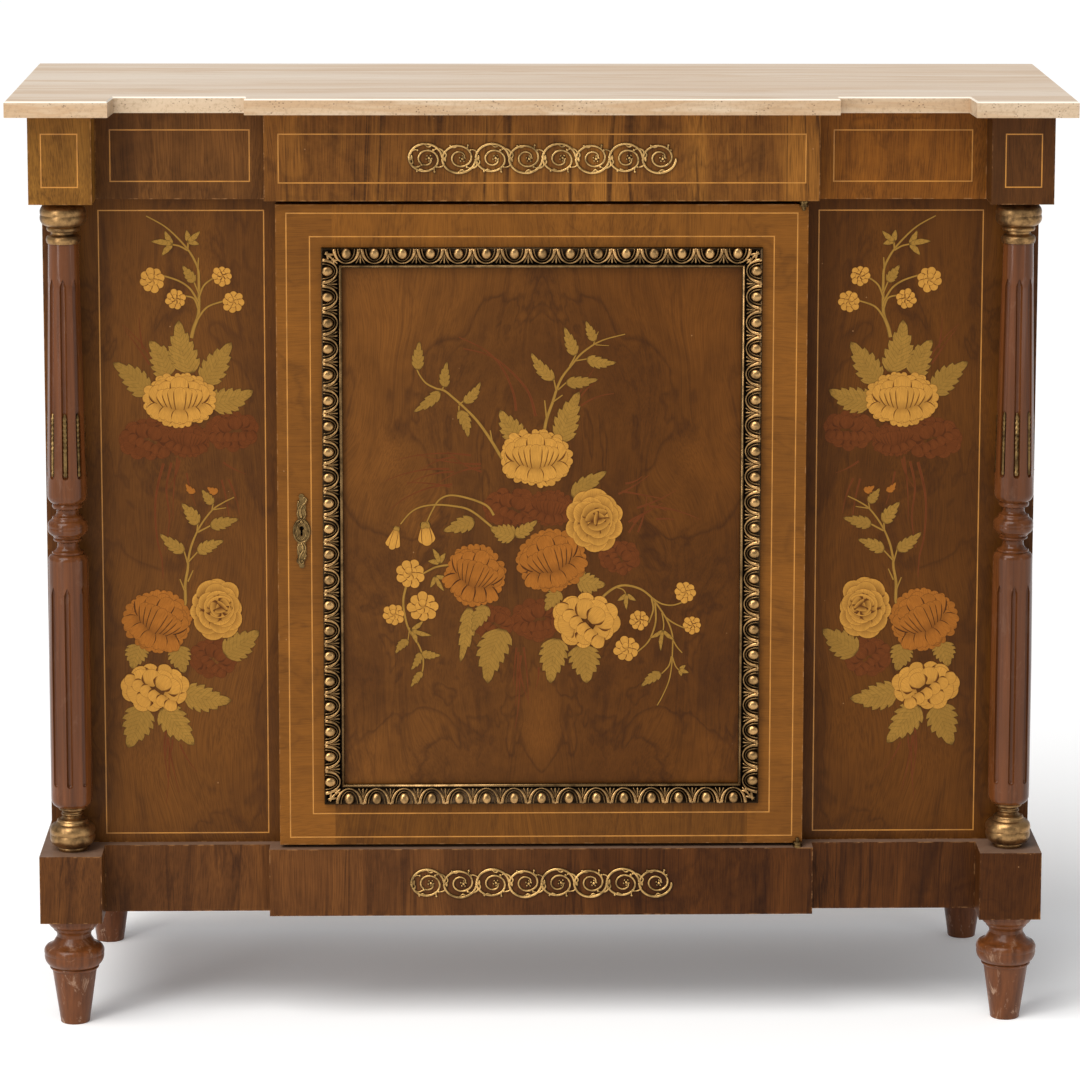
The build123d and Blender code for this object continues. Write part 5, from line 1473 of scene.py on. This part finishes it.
class CABINET_OT_turned(bpy.types.Operator):
    """Polishes the columns and feet and gives the brass its patina"""

    bl_idname = "cabinet.turned"
    bl_label = "Columns and feet"

    def execute(self, context):
        tone = colours()
        column = turned_wood("polished mahogany", tone.mahogany[:], 0.24, 0.5)
        dress(column, "column_left", "column_right")
        foot = turned_wood("scuffed mahogany", shade(tone.mahogany, 1.15), 0.36, 1.0)
        dress(foot, "foot_front_left", "foot_front_right", "foot_rear_left", "foot_rear_right")
        brass = old_brass("old brass", tone.brass[:], shown(58, 40, 26), 0.3, 0.75)
        dress(brass, "capital_left", "capital_right", "column_base_left", "column_base_right")
        # Dark brown for patina and painted shade on the gilt and key brass; both are also darkened as painted
        # shade on the sides that turn away from the front.
        patina_and_shade, key_patina_and_shade = shown(48, 30, 14), shown(40, 26, 14)
        old_brass("gilt brass", tone.gilt[:], patina_and_shade, 0.26, 0.6, shaded=True, painted_flank_shade=0.95)
        old_brass("key brass", shade(tone.gilt, 0.5), key_patina_and_shade, 0.26, 0.8, shaded=True, painted_flank_shade=0.95)
        plain = old_brass("plain brass", shade(tone.gilt, 0.3), shown(44, 28, 14), 0.3, 0.9)
        dress(plain, "flute_inserts", "key_plate", "hinge_fixed_leaves", "hinge_door_leaves", "strike_plate",
              "drawer_mount", "plinth_mount")
        antique = old_brass("antique brass", tone.antique[:], shown(26, 17, 10), 0.22, 0.6, shaded=True)
        dress(antique, "egg_and_dart")
        return {"FINISHED"}


class CABINET_OT_stringing(bpy.types.Operator):
    """Lays the boxwood strings"""

    bl_idname = "cabinet.stringing"
    bl_label = "Stringing"

    def execute(self, context):
        finish = Finish("boxwood")
        grain = finish.noise(finish.place(scale=(60, 60, 60)), detail=3)
        tone = finish.ramp(grain, (0.3, shade(colours().boxwood, 0.7)), (0.6, colours().boxwood[:]))
        finish.done(tone, finish.ramp(grain, (0.3, 0.38), (0.7, 0.5)), finish.bump(grain, 0.05, 0.2 * MM))
        for name, body, left, right, frames in STRINGS:
            low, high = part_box(left)[0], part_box(right)[1]
            string_piece(name, body, low.y, [inset(low, high, insets) for insets in frames])
        for name, node, (outer, inner, foot, head) in PAIRED_STRINGS:
            rectangles = []
            for side, insets in (("left", (outer, inner, foot, head)), ("right", (inner, outer, foot, head))):
                low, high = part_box(f"{node}_{side}")
                rectangles.append(inset(low, high, insets))
            string_piece(name, "cabinet", low.y, rectangles)
        return {"FINISHED"}


class CABINET_OT_marquetry(bpy.types.Operator):
    """Lays the flowers on the door and on the side panels"""

    bl_idname = "cabinet.marquetry"
    bl_label = "Marquetry"

    def execute(self, context):
        marquetry_finishes()
        door = Ground(0, FIELD_FACE, DOOR_MIDDLE)
        lay_marquetry("door", door, "door", DOOR_LAYOUT, seed=5, low_blossom=2)
        for where, flip in (("left", 1), ("right", -1)):
            panel = Ground(-flip * PANEL_MIDDLE * MM, PANEL_FACE, DOOR_MIDDLE, flip)
            lay_marquetry(f"{where}_panel", panel, "cabinet", SIDE_LAYOUT, seed=9)
        return {"FINISHED"}


class CABINET_OT_moulding(bpy.types.Operator):
    """Carves the egg-and-dart moulding round the door's centre panel"""

    bl_idname = "cabinet.moulding"
    bl_label = "Egg and dart"

    def execute(self, context):
        low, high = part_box("egg_and_dart")
        half_x, half_z = (high.x - low.x) / 2 / MM, (high.z - low.z) / 2 / MM
        face, middle_z = DOOR_LOW.y, (high.z + low.z) / 2
        across, up = sizes().eggs_across, sizes().eggs_up
        lengths = (
            ((0, face, middle_z + half_z * MM), (1, 0, 0), (0, 0, -1), half_x, across),
            ((0, face, middle_z - half_z * MM), (-1, 0, 0), (0, 0, 1), half_x, across),
            ((half_x * MM, face, middle_z), (0, 0, -1), (-1, 0, 0), half_z, up),
            ((-half_x * MM, face, middle_z), (0, 0, 1), (1, 0, 0), half_z, up),
        )
        shape = Shape()
        for corner, along, inward, half, count in lengths:
            side = MouldingLength(corner, along, inward)
            add_moulding_bed(shape, side, half)
            pitch = 2 * half / (count + 0.8)
            for k in range(count):
                add_egg_unit(shape, side, (k - (count - 1) / 2) * pitch, pitch)
            for k in range(1, count):
                add_dart_unit(shape, side, (k - count / 2) * pitch)
            add_corner_leaf(shape, side, half)
        brass = bpy.data.materials["antique brass"]
        made = shape.piece("egg_and_dart_carving", brass, "door", "antique_brass")
        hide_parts("egg_and_dart")
        return {"FINISHED"}


class CABINET_OT_mounts(bpy.types.Operator):
    """Casts the two scroll mounts and the relief on the keyhole plate"""

    bl_idname = "cabinet.mounts"
    bl_label = "Brass mounts"

    def execute(self, context):
        make_mount("drawer_scrolls", "drawer", "drawer_mount")
        make_mount("plinth_scrolls", "cabinet", "plinth_mount")
        make_key_relief()
        return {"FINISHED"}


STEPS = (
    CABINET_OT_stage,
    CABINET_OT_stone,
    CABINET_OT_veneer,
    CABINET_OT_inside,
    CABINET_OT_turned,
    CABINET_OT_stringing,
    CABINET_OT_marquetry,
    CABINET_OT_moulding,
    CABINET_OT_mounts,
)


class CABINET_PT_steps(bpy.types.Panel):
    """Lists the steps that dress the cabinet, and its colours and sizes"""

    bl_idname = "CABINET_PT_steps"
    bl_label = "Side cabinet"
    bl_space_type = "VIEW_3D"
    bl_region_type = "UI"
    bl_category = "Cabinet"

    def draw(self, context):
        for step in STEPS:
            self.layout.operator(step.bl_idname)
        for group in (context.scene.cabinet_colours, context.scene.cabinet_sizes):
            for key in group.__annotations__:
                self.layout.prop(group, key)


CLASSES = (CabinetColours, CabinetSizes, *STEPS, CABINET_PT_steps)


def register():
    for each in CLASSES:
        bpy.utils.register_class(each)
    bpy.types.Scene.cabinet_colours = bpy.props.PointerProperty(type=CabinetColours)
    bpy.types.Scene.cabinet_sizes = bpy.props.PointerProperty(type=CabinetSizes)


def unregister():
    del bpy.types.Scene.cabinet_sizes
    del bpy.types.Scene.cabinet_colours
    for each in reversed(CLASSES):
        bpy.utils.unregister_class(each)


def plain(box):
    """The corners of a box as plain numbers."""
    return [[round(float(c), 6) for c in corner] for corner in box]


def main():
    register()
    for step in STEPS:
        group, name = step.bl_idname.split(".")
        getattr(getattr(bpy.ops, group), name)()
    bpy.context.view_layer.update()


if __name__ == "__main__":
    main()
